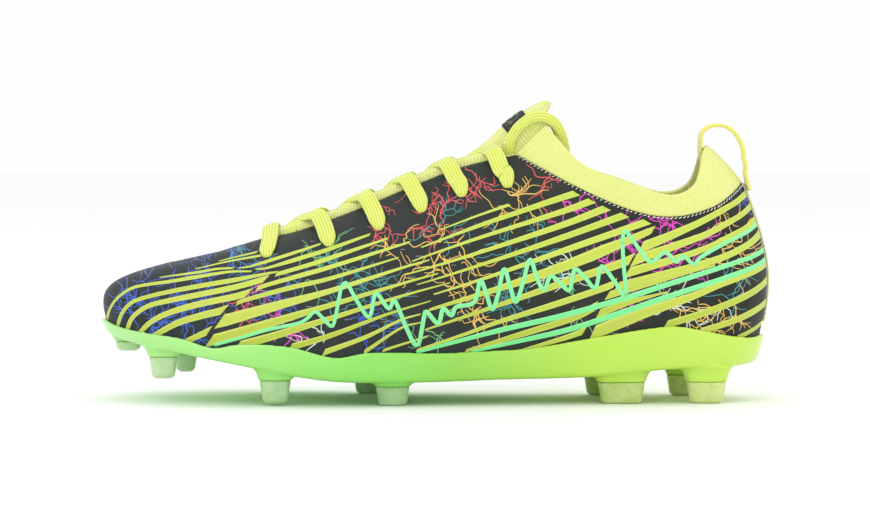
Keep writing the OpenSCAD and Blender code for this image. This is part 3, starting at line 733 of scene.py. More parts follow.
def make_tail(side, name):
    start = [eyelet_point(5, side, -3.2), eyelet_point(5, side, -6.4)]
    points = start + [np.array([p[0], p[1] * side, p[2]]) for p in TAIL]
    line = resample(points, 0.9)
    axis = unit(np.gradient(line, axis=0))
    inward = np.tile(np.array([0.0, side, 0.15]), (len(line), 1))
    face = unit(inward - axis * np.sum(inward * axis, axis=1, keepdims=True))
    gone = np.linspace(0, 1, len(line))
    # the last stretch narrows to go into the aglet
    width = np.interp(gone, [0, 0.03, 0.06, 0.93, 0.97, 1], [3, 3.4, TAIL_W, TAIL_W, 2.9, 2.8])
    thick = np.interp(gone, [0, 0.93, 0.97, 1], [TAIL_T, TAIL_T, 2.6, 2.6])
    rings, weave = sweep(line, face, width, thick, count=20)
    tail = tube("lace_tail_" + name + "_braid", rings, weave, tidy=True)
    add_piece(tail, "shoe", "lace", LACE, replaces=["lace_tail_" + name])
    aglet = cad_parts["aglet_" + name]
    dress(aglet, AGLET)


make_tail(LATERAL, "lateral")
make_tail(MEDIAL, "medial")

# ---- upper: skin, lining and ankle pads ----


def make_upper():
    skin = upper_shell("upper_skin_knit", lambda w, v: 0 * w * v, lambda w, v: 0 * w * v - SKIN_T, 408, 72)
    add_piece(skin, "shoe", "skin", SKIN, replaces=["upper_skin"])
    lining = upper_shell("upper_lining_mesh", lambda w, v: LINING_OUT - pad_depth(w, v),
                         lambda w, v: LINING_IN - pad_depth(w, v), 272, 36)
    add_piece(lining, "shoe", "lining", LINING, replaces=["upper_lining"])
    for side, name in ((LATERAL, "lateral"), (MEDIAL, "medial")):
        u = np.linspace(1.5, 5.5, 49)[:, None]
        v = np.linspace(0.56, 0.885, 25)[None, :]
        w = u if side == LATERAL else LOOP - u
        swell = np.clip(pad_depth(w, v), 0, None)
        pad = sheet_solid("ankle_pad_" + name + "_foam", skin_at(w, v, UNDER_SKIN),
                          skin_at(w, v, FILLER_IN - swell))
        add_piece(pad, "shoe", "padding", PADDING, replaces=["ankle_pad_" + name])


# ---- knit collar: a padded ribbed band from the lateral front corner round the heel ----

COLLAR_RIB = 1.1
COLLAR_RIB_DEPTH = 0.09


def collar_low(t):
    return crest(-t)


def collar_high(t):
    p = along(COLLAR_TOP, np.abs(t), before=mirror_y(COLLAR_TOP[1]))
    p[..., 1] *= np.sign(t)
    return p


def collar_frame(t):
    low, high = collar_low(t), collar_high(t)
    rise = high - low
    run = collar_low(np.minimum(t + 0.1, 6)) - collar_low(np.maximum(t - 0.1, -6))
    return low, high, unit(np.cross(run, rise)), rise


def collar_profile(t):
    """Control outline of the band's section, outside foot to inside foot."""
    low, high, n, rise = collar_frame(t)
    up = unit(rise)
    foot = low + 0.5 * up
    return [foot - 0.1 * n, foot + 0.35 * rise + 0.5 * n, foot + 0.7 * rise + 0.3 * n,
            high - 0.9 * up - 0.4 * n, high - 0.3 * COLLAR_T * n, high - 0.65 * COLLAR_T * n,
            high - 0.9 * up - (COLLAR_T - 0.3) * n, foot + 0.6 * rise - COLLAR_T * n,
            foot + 0.3 * rise - COLLAR_T * n, foot + 0.7 * up - (COLLAR_T - 0.3) * n]


def make_collar():
    coarse = np.linspace(-6, 6, 481)
    lows = collar_low(coarse)
    gone = np.r_[0, np.cumsum(np.linalg.norm(np.diff(lows, axis=0), axis=1))]
    count = int(gone[-1] / COLLAR_RIB) * 4
    place = np.linspace(0, gone[-1], count)
    t = np.interp(place, gone, coarse)
    outline = np.stack(collar_profile(t), axis=0)
    m = len(outline)
    s = np.linspace(0, m, 44, endpoint=False)
    i = np.floor(s).astype(int)
    f = (s - i)[:, None, None]
    ring = spline(outline[(i - 1) % m], outline[i % m], outline[(i + 1) % m], outline[(i + 2) % m], f)
    # soften the spline towards straight runs so that it stays inside the band's thickness
    straight = outline[i % m] * (1 - f) + outline[(i + 1) % m] * f
    ring = 0.6 * ring + 0.4 * straight
    centre = ring.mean(axis=0, keepdims=True)
    away = unit(ring - centre)
    n = collar_frame(t)[2]
    wave = 0.5 + 0.5 * np.cos(2 * math.pi * place / COLLAR_RIB)
    push = -COLLAR_RIB_DEPTH * wave[None, :, None]
    flat = n[None] * np.sign(np.sum(away * n[None], axis=-1, keepdims=True))
    ring = ring + push * flat
    rings = np.transpose(ring, (1, 0, 2))
    up_len = np.r_[0, np.cumsum(np.linalg.norm(np.diff(rings[0], axis=0), axis=1))]
    weave = np.zeros(rings.shape)
    weave[..., 0] = place[:, None]
    weave[..., 1] = np.minimum(up_len, up_len[-1] - up_len)[None, :]
    collar = tube("collar_knit_band", rings, weave, tidy=True)
    add_piece(collar, "shoe", "knit", COLLAR_KNIT, replaces=["collar_knit"])
    make_seam_stitches(lows, gone)


def capsule(a, b, face, width, thick):
    """Points and faces of one thread stitch from a to b."""
    s = np.array([0, 0.12, 0.5, 0.88, 1.0])
    size = np.array([0.35, 0.85, 1.0, 0.85, 0.35])
    line = a + (b - a) * s[:, None]
    face = np.tile(face, (5, 1))
    rings, _ = sweep(line, face, width * size, thick * size, count=8, power=2)
    faces = quads(5, 8, wrap_cols=True).tolist() + [list(range(8)), [39 - k for k in range(8)]]
    return rings.reshape(-1, 3), faces


def join_parts(name, parts):
    points, faces, base = [], [], 0
    for p, f in parts:
        points.append(p)
        faces += [[k + base for k in face] for face in f]
        base += len(p)
    return make_object(name, np.concatenate(points), faces, tidy=False)


def recalc(obj):
    work = bmesh.new()
    work.from_mesh(obj.data)
    bmesh.ops.recalc_face_normals(work, faces=work.faces)
    work.to_mesh(obj.data)
    work.free()


def make_seam_stitches(lows, gone):
    """White cover stitches where the collar meets the skin."""
    parts = []
    dice = random.Random(5)
    t = np.linspace(-6, 6, len(lows))
    for at in np.arange(2, gone[-1] - 2, 1.9):
        lean = dice.uniform(-0.25, 0.25)
        span = np.array([at - 0.55, at + 0.55 + lean])
        w = -np.interp(span, gone, t)
        a, b = skin_at(w, 0.992, 0.14), skin_at(w, 1.0, 0.2)
        normal = unit(skin_at(w[0], 0.99, 1.0) - skin_at(w[0], 0.99, 0.0))
        parts.append(capsule(a[0], b[1], normal, 0.42, 0.3))
    obj = join_parts("collar_seam_stitches", parts)
    recalc(obj)
    add_piece(obj, "shoe", "knit", STITCH)


# ---- heel strip ----


def make_heel_strip():
    y = np.linspace(-1.3, 1.3, 13)[:, None]
    v = np.linspace(0.165, 1, 110)[None, :] - 0.004
    at = skin_at(0 * y, v, 0.0)
    crown = 0.02 * y ** 2
    edge = 1 - np.clip((np.abs(y) - 0.9) / 0.4, 0, 1) ** 2
    outer = at + np.stack([0.42 + 0.55 * edge - crown + 0 * v, y + 0 * v, 0 * y * v], axis=-1)
    inner = at + np.stack([0.3 - crown + 0 * v, y + 0 * v, 0 * y * v], axis=-1)
    gone = np.r_[0, np.cumsum(np.linalg.norm(np.diff(at[0], axis=0), axis=1))]
    weave = np.stack([gone[None, :] + 0 * y, np.abs(y) + 0 * v, 0 * y * v], axis=-1)
    strip = sheet_solid("heel_strip_tape", outer, inner, weave)
    add_piece(strip, "shoe", "webbing", HEEL_TAPE, replaces=["heel_strip"])


# ---- tongue, one knit sheet across the flexing line, and its woven label ----


def tongue_at(s, q, drop):
    """Point of the tongue at table parameter s, share q of its half width, depth below its top."""
    r = along(TONGUE, s)
    run = along(TONGUE, s + 0.05) - along(TONGUE, s - 0.05)
    n = unit(np.stack([-run[..., 1], run[..., 0]], axis=-1))
    sink = TONGUE_CROWN * r[..., 3] * q * q + drop * (1 - 0.5 * q * q)
    return np.stack([r[..., 0] - sink * n[..., 0], TONGUE_HALF_W * r[..., 2] * q,
                     r[..., 1] - sink * n[..., 1]], axis=-1)


def make_tongue():
    last = len(TONGUE) - 1
    s = np.linspace(0, last, 300)[None, :]
    edge = np.linspace(-1, 1, 97)[:, None]
    # the free end's outline is a half ellipse over its last stretch
    tip = np.clip((s - (last - 1.5)) / 1.5, 0, 1)
    q = edge * np.sqrt(np.maximum(1 - tip ** 2 * 0.85, 0.05))
    ribs = 0.1 * np.cos(2 * math.pi * TONGUE_HALF_W * edge / 1.7)
    border = np.clip((1 - np.abs(edge)) / 0.08, 0, 1)
    thin = np.clip((last - s) / 0.35, 0, 1) ** 0.5 * border ** 0.5
    half = TONGUE_T / 2
    outer = tongue_at(s, q, half - half * thin + (0.1 - ribs) * thin)
    inner = tongue_at(s, q, half + half * thin)
    middle = along(TONGUE, s[0])
    gone = np.r_[0, np.cumsum(np.linalg.norm(np.diff(middle[:, :2], axis=0), axis=1))]
    weave = np.stack([TONGUE_HALF_W * edge + 0 * s, gone[None, :] + 0 * edge, 0 * edge * s], axis=-1)
    tongue = sheet_solid("tongue_knit_sheet", outer, inner, weave)
    add_piece(tongue, None, "knit", TONGUE_KNIT, replaces=["tongue", "tongue_top"])
    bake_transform(tongue)


LABEL_FROM = 9.15
LABEL_TO = 11.0


def make_label():
    s = np.linspace(LABEL_FROM, LABEL_TO, 50)[None, :]
    q = np.linspace(-0.72, 0.72, 41)[:, None]
    edge = np.minimum(np.clip((0.72 - np.abs(q)) / 0.06, 0, 1),
                      np.clip(np.minimum(s - LABEL_FROM, LABEL_TO - s) / 0.1, 0, 1)) ** 0.5
    outer = tongue_at(s, q, -0.2 - 0.55 * edge)
    inner = tongue_at(s, q, -0.05)
    label = sheet_solid("tongue_label_patch", outer, inner)
    add_piece(label, "tongue_flap", "label", LABEL, replaces=["tongue_label"])
    # plain pale hatching across the patch, in place of any mark
    parts = []
    dice = random.Random(11)
    for q0 in np.arange(-0.66, 0.68, 0.06):
        breaks = sorted(dice.uniform(LABEL_FROM + 0.15, LABEL_TO - 0.15) for _ in range(6))
        for a, b in zip(breaks[::2], breaks[1::2]):
            if b - a > 0.07:
                ends = [tongue_at(np.array(x), np.array(q0), -0.82) for x in (a, b)]
                parts.append(capsule(ends[0], ends[1], np.array([-0.5, 0, 0.85]), 0.42, 0.22))
    threads = join_parts("tongue_label_hatching", parts)
    recalc(threads)
    add_piece(threads, "tongue_flap", "label", LABEL_THREAD)


# ---- lace rows ----

LACE_W = 7.3
LACE_T = 2.1


def tongue_top_at(x, y, lift):
    """Point lift millimetres above the tongue at plan place (x, y), and the face direction there."""
    s = np.linspace(0, len(TONGUE) - 1, 600)
    line = along(TONGUE, s)
    k = int(np.argmin(np.abs(line[:, 0] - x)))
    q = y / (TONGUE_HALF_W * line[k, 2])
    p = tongue_at(s[k], q, -lift)
    run = unit(tongue_at(s[k] + 0.02, q, 0) - tongue_at(s[k] - 0.02, q, 0))
    across = unit(tongue_at(s[k], q + 0.02, 0) - tongue_at(s[k], q - 0.02, 0))
    n = unit(np.cross(run, across))
    return p, n if n[2] > 0 else -n


def skin_normal(w, v):
    e = 0.02
    n = unit(np.cross(skin_at(w + e, v) - skin_at(w - e, v), skin_at(w, min(v + e, 1)) - skin_at(w, v - e)))
    out = skin_at(w, v, 1.0) - skin_at(w, v, 0.0)
    return n if float(np.sum(n * out)) > 0 else -n


def strand(points, faces, widths, step=0.7):
    """A lace strand through control points, each with a face direction and a width."""
    data = np.concatenate([np.array(points), np.array(faces), np.array(widths)[:, None]], axis=1)
    fine = along(data, np.linspace(0, len(points) - 1, 24 * len(points)))
    gone = np.r_[0, np.cumsum(np.linalg.norm(np.diff(fine[:, :3], axis=0), axis=1))]
    want = np.linspace(0, gone[-1], max(8, int(gone[-1] / step)))
    fine = np.stack([np.interp(want, gone, fine[:, k]) for k in range(7)], axis=1)
    width = fine[:, 6]
    thick = LACE_T * np.clip(width / LACE_W, 0.75, 1.0)
    return sweep(fine[:, :3], unit(fine[:, 3:6]), width, thick, count=28, power=2.8, arch=0.25)


def throat_top(x):
    """Height of the throat band's upper edge at x."""
    return float(np.interp(x, [-74, -68, -44, -7, 10, 31], [70.6, 71.6, 79.2, 94.9, 101.4, 107.2]))


def lace_crossing(k, side, over):
    """From behind the band at row k, over the throat, into the far eyelet of row k + 1 from outside."""
    far = -side
    w_far, v_far = eyelet_w(k + 1, far), EYELETS[k + 1][1]
    x_near, x_far = edge_point(k, side, 0.0)[0], edge_point(k + 1, far, 0.0)[0]
    start_x = x_near + 0.22 * (x_far - x_near)
    flat_face = unit(np.array([-0.42, 0, 0.9]))
    points, faces, widths = [], [], []

    def put(p, n, width):
        points.append(np.array(p, float))
        faces.append(n)
        widths.append(width)

    # share of the crossing, distance from the middle plane, height from the band's top, roll outward
    inner = [(0.0, 9.4, -5.4, 0.9, 0.8), (0.14, 8.4, -2.2, 0.75, 0.94), (0.27, 6.2, -0.1, 0.35, 1)]
    crossing = [(0.38, 3, 0.9, 0.0, 1), (0.5, 0, 1.5, 0.0, 1)] if over else \
               [(0.38, 3, -0.4, 0.0, 1), (0.5, 0, -0.8, 0.0, 1)]
    outer = [(0.62, -4, 1.5, -0.1, 1), (0.74, -8, 1.3, -0.4, 1)] if over else \
            [(0.62, -4, -0.1, -0.1, 1), (0.74, -8, 1.1, -0.4, 1)]
    for share, away, rise, roll, size in inner + crossing + outer:
        x = start_x + (x_far - 5.0 - start_x) * share
        n = unit(flat_face + np.array([0, side * roll, 0]))
        put([x, side * away, throat_top(x) + rise], n, LACE_W * size)
    n_edge = unit(skin_normal(w_far, 0.98) + 0.2 * UP + np.array([0, 0.3 * far, 0]))
    put(edge_point(k + 1, far, 0) + 2.5 * n_edge + [-4.2, 0, 0.4], n_edge, LACE_W)
    for v, d, width, dx in ((0.93, 1.45, LACE_W, -2.0), (v_far + 0.025, 1.2, LACE_W * 0.97, -0.5),
                            (v_far - 0.012, 0.95, LACE_W * 0.8, 0.0), (v_far - 0.034, -0.1, 3.8, 0.0),
                            (v_far - 0.036, -1.7, 2.6, 0.0)):
        put(skin_at(w_far, v) + d * skin_normal(w_far, v) + [dx, 0, 0], skin_normal(w_far, v), width)
    return strand(points, faces, widths)


def lace_bar():
    """The straight bar outside the first pair of eyelets."""
    v_hole = EYELETS[0][1]
    rows = ((v_hole - 0.036, -1.7, 2.6), (v_hole - 0.034, -0.1, 3.8), (v_hole - 0.012, 0.95, LACE_W * 0.8),
            (v_hole + 0.025, 1.2, LACE_W * 0.97), (0.93, 1.45, LACE_W))
    halves = []
    for side in (LATERAL, MEDIAL):
        w = eyelet_w(0, side)
        halves.append([(skin_at(w, v) + d * skin_normal(w, v), skin_normal(w, v), width)
                       for v, d, width in rows])
    n_edge = unit(np.array([-0.3, 0, 1.0]))
    x_bar = edge_point(0, LATERAL, 0)[0] - 1.0
    top = throat_top(x_bar)
    middle = [([x_bar, y, top + up], unit(n_edge + np.array([0, y * 0.05, 0])), LACE_W)
              for y, up in ((-7.5, 1.0), (0, 1.7), (7.5, 1.0))]
    data = halves[0] + middle + halves[1][::-1]
    return strand([np.array(d[0], float) for d in data], [d[1] for d in data], [d[2] for d in data])


BAND_T = 1.5


def make_throat_band():
    """Knit edge that rises from under the skin's throat line, one piece round the throat's toe end."""
    t = np.linspace(-6.05, 6.05, 520)
    w = np.where(t < 0, THROAT_END + t, LOOP - THROAT_END + t)
    base = crest(np.where(t < 0, w, w))
    run = np.gradient(base, axis=0)
    inward = unit(np.stack([-run[:, 1], run[:, 0], 0 * t], axis=1))
    inward = inward * np.sign(inward[:, 0:1] * (base[:, 0:1] > -72) + 1e-9)
    centre = np.stack([np.maximum(base[:, 0], -66.0), 0 * t, base[:, 2]], axis=1)
    inward = unit((centre - base) * np.array([1.0, 1.0, 0.0]))
    tops = np.array([throat_top(x) for x in base[:, 0]])
    tall = np.maximum(tops - base[:, 2], 1.5)
    fade = np.clip((6.05 - np.abs(t)) / 0.5, 0.15, 1)
    # outline of the band's section: (share of the height, distance inward)
    outline = [(-0.55, 1.35), (-0.2, 1.3), (0.2, 1.2), (0.6, 1.45), (0.88, 1.9), (1.0, 2.5), (0.97, 3.0),
               (0.8, 3.2), (0.5, 3.0), (0.1, 2.9), (-0.3, 2.95), (-0.55, 2.9)]
    rings, weave = [], []
    samples = np.linspace(0, len(outline), 40, endpoint=False)
    pts = np.array(outline)
    i = np.floor(samples).astype(int)
    f = (samples - i)[:, None]
    count = len(outline)
    ring = spline(pts[(i - 1) % count], pts[i % count], pts[(i + 1) % count], pts[(i + 2) % count], f)
    gone = np.r_[0, np.cumsum(np.linalg.norm(np.diff(base, axis=0), axis=1))]
    for k in range(len(t)):
        lift = ring[:, 0] * tall[k] * fade[k]
        knit = 0.07 * math.cos(2 * math.pi * gone[k] / 1.3)
        inset = ring[:, 1] + knit + 0.22 * np.clip(ring[:, 0], 0, 1) * tall[k]
        rings.append(base[k] + inset[:, None] * inward[k] + lift[:, None] * UP)
        weave.append(np.stack([np.full(40, gone[k]), ring[:, 0] * tall[k], 0 * lift], axis=1))
    band = tube("throat_knit_band", np.array(rings), np.array(weave), tidy=True)
    add_piece(band, "shoe", "knit", TONGUE_KNIT)
    # an inner gusset behind each front corner of the collar, beside the tongue
    for side, name in ((LATERAL, "lateral"), (MEDIAL, "medial")):
        line = resample([[26, side * 11.9, 99.5], [31, side * 12.4, 104.5], [36.5, side * 12.6, 109.6],
                         [42, side * 12.6, 114], [46.5, side * 12.4, 117]], 0.7)
        n = len(line)
        face = np.tile(np.array([0.0, side, 0.12]), (n, 1))
        width = np.interp(np.linspace(0, 1, n), [0, 0.2, 0.8, 0.95, 1], [8, 9.5, 8.5, 6, 3.5])
        rings, weave = sweep(line, face, width, np.full(n, 0.9), count=40, power=4)
        gusset = tube("collar_gusset_" + name, rings, weave, tidy=True)
        add_piece(gusset, "shoe", "knit", TONGUE_KNIT)


def make_lace():
    parts, weaves = [], []
    strands = [lace_bar()]
    for k in range(5):
        strands.append(lace_crossing(k, LATERAL, False))
        strands.append(lace_crossing(k, MEDIAL, True))
    for rings, weave in strands:
        n, m = rings.shape[:2]
        faces = quads(n, m, wrap_cols=True).tolist()
        faces += [list(range(m)), [(n - 1) * m + j for j in range(m)][::-1]]
        parts.append((rings.reshape(-1, 3), faces))
        weaves.append(weave.reshape(-1, 3))
    points, faces, base = [], [], 0
    for p, f in parts:
        points.append(p)
        faces += [[j + base for j in face] for face in f]
        base += len(p)
    lace = make_object("lace_rows_braid", np.concatenate(points), faces, weave=np.concatenate(weaves))
    recalc(lace)
    add_piece(lace, "shoe", "lace", LACE, replaces=["lace"])


# ---- heel pull loop: one webbing from its front anchor over to its rear anchor ----


def make_pull_loop():
    route = [[p[0], 0, p[1]] for p in LOOP_FRONT + LOOP_FREE + LOOP_REAR + LOOP_SEWN]
    line = resample(route, 0.45)
    run = unit(np.gradient(line, axis=0))
    face = np.stack([-run[:, 2], 0 * run[:, 0], run[:, 0]], axis=1)
    gone = np.r_[0, np.cumsum(np.linalg.norm(np.diff(line, axis=0), axis=1))]
    width = np.full(len(line), LOOP_W)
    rings, weave = sweep(line, face, width, np.full(len(line), LOOP_T), count=48, power=5)
    # raised woven borders along both edges of the webbing
    side = np.abs(rings[..., 1]) / (LOOP_W / 2)
    welt = 0.16 * np.exp(-((side - 0.86) / 0.07) ** 2)
    up = np.sign(np.sum((rings - line[:, None]) * face[:, None], axis=-1))
    rings = rings + (welt * up)[..., None] * face[:, None]
    loop = tube("heel_pull_loop_webbing", rings, weave, tidy=True)
    add_piece(loop, None, "webbing", WEBBING, replaces=["heel_pull_loop", "heel_loop_anchor"])
    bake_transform(loop)


# ---- sole plate: tray and stud bases grown together, and its frosted tips ----

PLATE_VOXEL = 0.55
STUDS = ["stud_tip_lateral_%d" % k for k in range(1, 6)] + ["stud_tip_medial_%d" % k for k in range(1, 7)]
STUD_FLARE = 2.6


def v_reaching(w, z):
    lo, hi = np.zeros_like(w), np.ones_like(w)
    for _ in range(16):
        mid = (lo + hi) / 2
        below = skin_at(w, mid)[..., 2] < z
        lo, hi = np.where(below, mid, lo), np.where(below, hi, mid)
    return (lo + hi) / 2


def plate_tray():
    w = np.arange(340) * LOOP / 340
    vt = v_reaching(w, height(PLATE_TOP, row(w)[..., 0]))
    r, h = row(w), outward(w)
    foot = np.stack([r[..., 0], r[..., 1], height(FEATHER, r[..., 0])], axis=-1)
    zb = height(PLATE_BASE, foot[..., 0])
    gap, out = PLATE_WALL_GAP, PLATE_WALL_GAP + PLATE_WALL
    low = foot + 0.9 * h
    low[..., 2] = (foot[..., 2] + 2 * zb) / 3
    base = foot - 1.6 * h
    base[..., 2] = zb
    # the wall's hidden face lies a little inside the skin, so that the rim has body
    inner = gap - 0.7
    profile = [foot + inner * h - 0.2 * UP, skin_at(w, vt * 0.33, inner), skin_at(w, vt * 0.66, inner),
               skin_at(w, vt * 0.97, inner), skin_at(w, vt, gap + 0.3 * PLATE_WALL),
               skin_at(w, vt * 0.97, gap + 0.85 * PLATE_WALL), skin_at(w, vt * 0.66, out),
               skin_at(w, vt * 0.33, out + 0.1), foot + (out - 0.2) * h, low, base]
    rings = np.stack(profile, axis=1)
    n, m = rings.shape[:2]
    faces = quads(n, m, wrap_rows=True)
    i = np.arange(1, n // 2 - 1)
    caps = []
    for j, turn in ((0, 1), (m - 1, -1)):
        cap = np.stack([i * m + j, (i + 1) * m + j, (n - i - 1) * m + j, (n - i) * m + j], axis=1)
        caps += cap[:, ::turn].tolist()
        for a, b, c in ((0, 1, n - 1), (n // 2, n // 2 - 1, n // 2 + 1)):
            caps.append([a * m + j, b * m + j, c * m + j][::turn])
    return rings.reshape(-1, 3), faces.tolist() + caps


def oval(centre, length, width, z, tilt=0.0, count=40, power=3.2):
    across, up = section(length, width, count, power)
    lean = math.tan(math.radians(tilt))
    return np.stack([centre[0] + across, centre[1] + up, z - across * lean], axis=1)


def loft(rings):
    rings = np.array(rings)
    n, m = rings.shape[:2]
    faces = quads(n, m, wrap_cols=True).tolist()
    return rings.reshape(-1, 3), faces + [list(range(m)), [(n - 1) * m + k for k in range(m)][::-1]]


def stud_base(name):
    lo, hi = [np.array(p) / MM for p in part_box(name)]
    centre, size = (lo + hi) / 2, hi - lo
    top = float(height(PLATE_BASE, centre[0]))
    slope = math.degrees(math.atan2(-(height(PLATE_BASE, centre[0] + 4) - height(PLATE_BASE, centre[0] - 4)), 8))
    rings = []
    for share, flare in ((0, 0.4), (0.12, 0.6), (0.4, 0.9), (0.65, 1.4), (0.85, 2.3), (1.0, 3.2), (1.12, 3.7)):
        z = hi[2] + (top + 0.4 - hi[2]) * share
        grow = flare * STUD_FLARE / 2.6
        rings.append(oval(centre, size[0] + 2 * grow, size[1] + 2 * grow, z, slope * min(share, 1)))
    return loft(rings)


def make_plate():
    parts = [plate_tray()] + [stud_base(name) for name in STUDS]
    # shallow ribs along the underside between the heel and forefoot studs
    for y in (-7, 0, 7):
        line = np.array([[x, y * (1 - abs(x - 20) / 140), float(height(PLATE_BASE, x)) + 0.25]
                         for x in np.linspace(-48, 66, 30)])
        rings, _ = sweep(line, np.tile(UP, (30, 1)), np.full(30, 2.6), np.full(30, 2.4), count=12)
        parts.append((rings.reshape(-1, 3), quads(30, 12, wrap_cols=True).tolist()
                      + [list(range(12)), [29 * 12 + k for k in range(12)][::-1]]))
    plate = join_parts("outsole_plate_moulded", parts)
    recalc(plate)
    grow = plate.modifiers.new("fuse", "REMESH")
    grow.mode = "VOXEL"
    grow.voxel_size = PLATE_VOXEL * MM
    relax = plate.modifiers.new("relax", "SMOOTH")
    relax.factor = 0.5
    relax.iterations = 16
    seen = plate.evaluated_get(bpy.context.evaluated_depsgraph_get())
    mesh = bpy.data.meshes.new_from_object(seen)
    plate.modifiers.clear()
    plate.data = mesh
    mesh.shade_smooth()
    add_piece(plate, "shoe", "plate", PLATE, replaces=["outsole_plate"])


def make_tips():
    for name in STUDS:
        lo, hi = [np.array(p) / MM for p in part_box(name)]
        centre, size = (lo + hi) / 2, hi - lo
        tall = size[2]
        draft = math.tan(math.radians(9))
        rings = []
        for up in (0, 0.12, 0.4, 0.9, 1.6, 0.5 * tall, 0.8 * tall, tall - 0.3, tall - 0.05):
            trim = 1.5 * (1 - min(up / 1.6, 1)) ** 2 + draft * (tall - up)
            trim += 0.25 if up > tall - 0.1 else 0
            rings.append(oval(centre, size[0] - 2 * trim, size[1] - 2 * trim, lo[2] + up, count=48))
        points, faces = loft(rings)
        tip = make_object(name + "_moulded", points, faces, tidy=True)
        add_piece(tip, "shoe", "stud_tip", TIP, replaces=[name])


# ---- footbed ----


def footbed_disc(name, low, high, cup, inset, replaced, slot, look):
    w = np.arange(240) * LOOP / 240
    r, h = row(w), outward(w)
    rim = np.stack([r[..., 0], r[..., 1], height(FEATHER, r[..., 0])], axis=-1) - inset * h
    mirror = rim[(-np.arange(240)) % 240]
    spine = (rim + mirror) / 2
    rows_out, rows_in = [], []
    for f in np.linspace(0.02, 1, 26):
        p = spine + (rim - spine) * f
        lift = cup * f ** 5 * np.clip((p[:, 0] + 120) / 120, 0.25, 1)
        rows_out.append(p + UP * (high + lift)[:, None])
        rows_in.append(p + UP * (low + 0.6 * lift)[:, None])
    outer, inner = np.array(rows_out), np.array(rows_in)
    n, m = outer.shape[:2]
    base = n * m
    faces = [quads(n, m, wrap_cols=True), quads(n, m, wrap_cols=True, base=base, flip=True)]
    j = np.arange(m)
    j2 = (j + 1) % m
    faces.append(np.stack([(n - 1) * m + j, (n - 1) * m + j2, base + (n - 1) * m + j2,
                           base + (n - 1) * m + j], axis=1))
    for side_base in (0, base):
        i = np.arange(1, m // 2 - 1)
        faces.append(np.stack([side_base + i, side_base + i + 1, side_base + m - i - 1, side_base + m - i],
                              axis=1))
    points = np.concatenate([outer.reshape(-1, 3), inner.reshape(-1, 3)])
    obj = make_object(name, points, np.concatenate(faces), tidy=True)
    add_piece(obj, "shoe", slot, look, replaces=[replaced])


def make_footbed():
    footbed_disc("sockliner_foam_bed", 1.9, 4.8, 1.6, 5.2, "sockliner_foam", "foam", FOAM)
    footbed_disc("sockliner_cover_cloth", 4.95, 5.7, 2.6, 5.2, "sockliner_cover", "lining", COVER)


# ---- print: raised film stripes, laid out on the side elevation seen from VIEW_DISTANCE ----

RISE_COS, RISE_SIN = math.cos(VIEW_RISE), math.sin(VIEW_RISE)
ELEVATION_Z = 62.0
ELEVATION_BASE = 64.15


def elevation(p, side):
    """Place of a point on the side elevation, as the level camera sees that side."""
    y = side * p[..., 1]
    z = p[..., 2] - ELEVATION_Z
    depth = VIEW_DISTANCE - y * RISE_COS - z * RISE_SIN
    x_seen = VIEW_DISTANCE * p[..., 0] / depth
    z_seen = ELEVATION_BASE + VIEW_DISTANCE * (z * RISE_COS - y * RISE_SIN) / depth
    return np.stack([x_seen, z_seen], axis=-1)


class SidePrint:
    """Finds where on one side of the skin a place of the elevation lies."""

    def __init__(self, side):
        self.side = side
        u = np.linspace(0.02, 16.98, 341)
        w = u if side == LATERAL else LOOP - u
        v = np.linspace(0.0, 1.0, 81)
        self.w, self.v = [a.ravel() for a in np.meshgrid(w, v, indexing="ij")]
        flat = elevation(skin_at(self.w, self.v), side)
        self.tree = KDTree(len(flat))
        for k, (x, z) in enumerate(flat):
            self.tree.insert((x, z, 0), k)
        self.tree.balance()

    def find(self, places):
        """Skin parameters of places, and how far each ends up from where it should be."""
        near = [self.tree.find((x, z, 0))[1] for x, z in places]
        w, v = self.w[near].copy(), self.v[near].copy()
        e = 0.01
        for _ in range(6):
            miss = places - elevation(skin_at(w, v), self.side)
            dw = (elevation(skin_at(w + e, v), self.side) - elevation(skin_at(w - e, v), self.side)) / (2 * e)
            dv = (elevation(skin_at(w, v + e), self.side) - elevation(skin_at(w, v - e), self.side)) / (2 * e)
            det = dw[:, 0] * dv[:, 1] - dw[:, 1] * dv[:, 0]
            det = np.where(np.abs(det) < 1e-3, np.inf, det)
            w += np.clip((miss[:, 0] * dv[:, 1] - miss[:, 1] * dv[:, 0]) / det, -0.3, 0.3)
            v += np.clip((dw[:, 0] * miss[:, 1] - dw[:, 1] * miss[:, 0]) / det, -0.1, 0.1)
            lo, hi = (0.02, 16.98) if self.side == LATERAL else (17.02, 33.98)
            w, v = np.clip(w, lo, hi), np.clip(v, 0.0, 0.998)
        miss = places - elevation(skin_at(w, v), self.side)
        return w, v, np.linalg.norm(miss, axis=1)


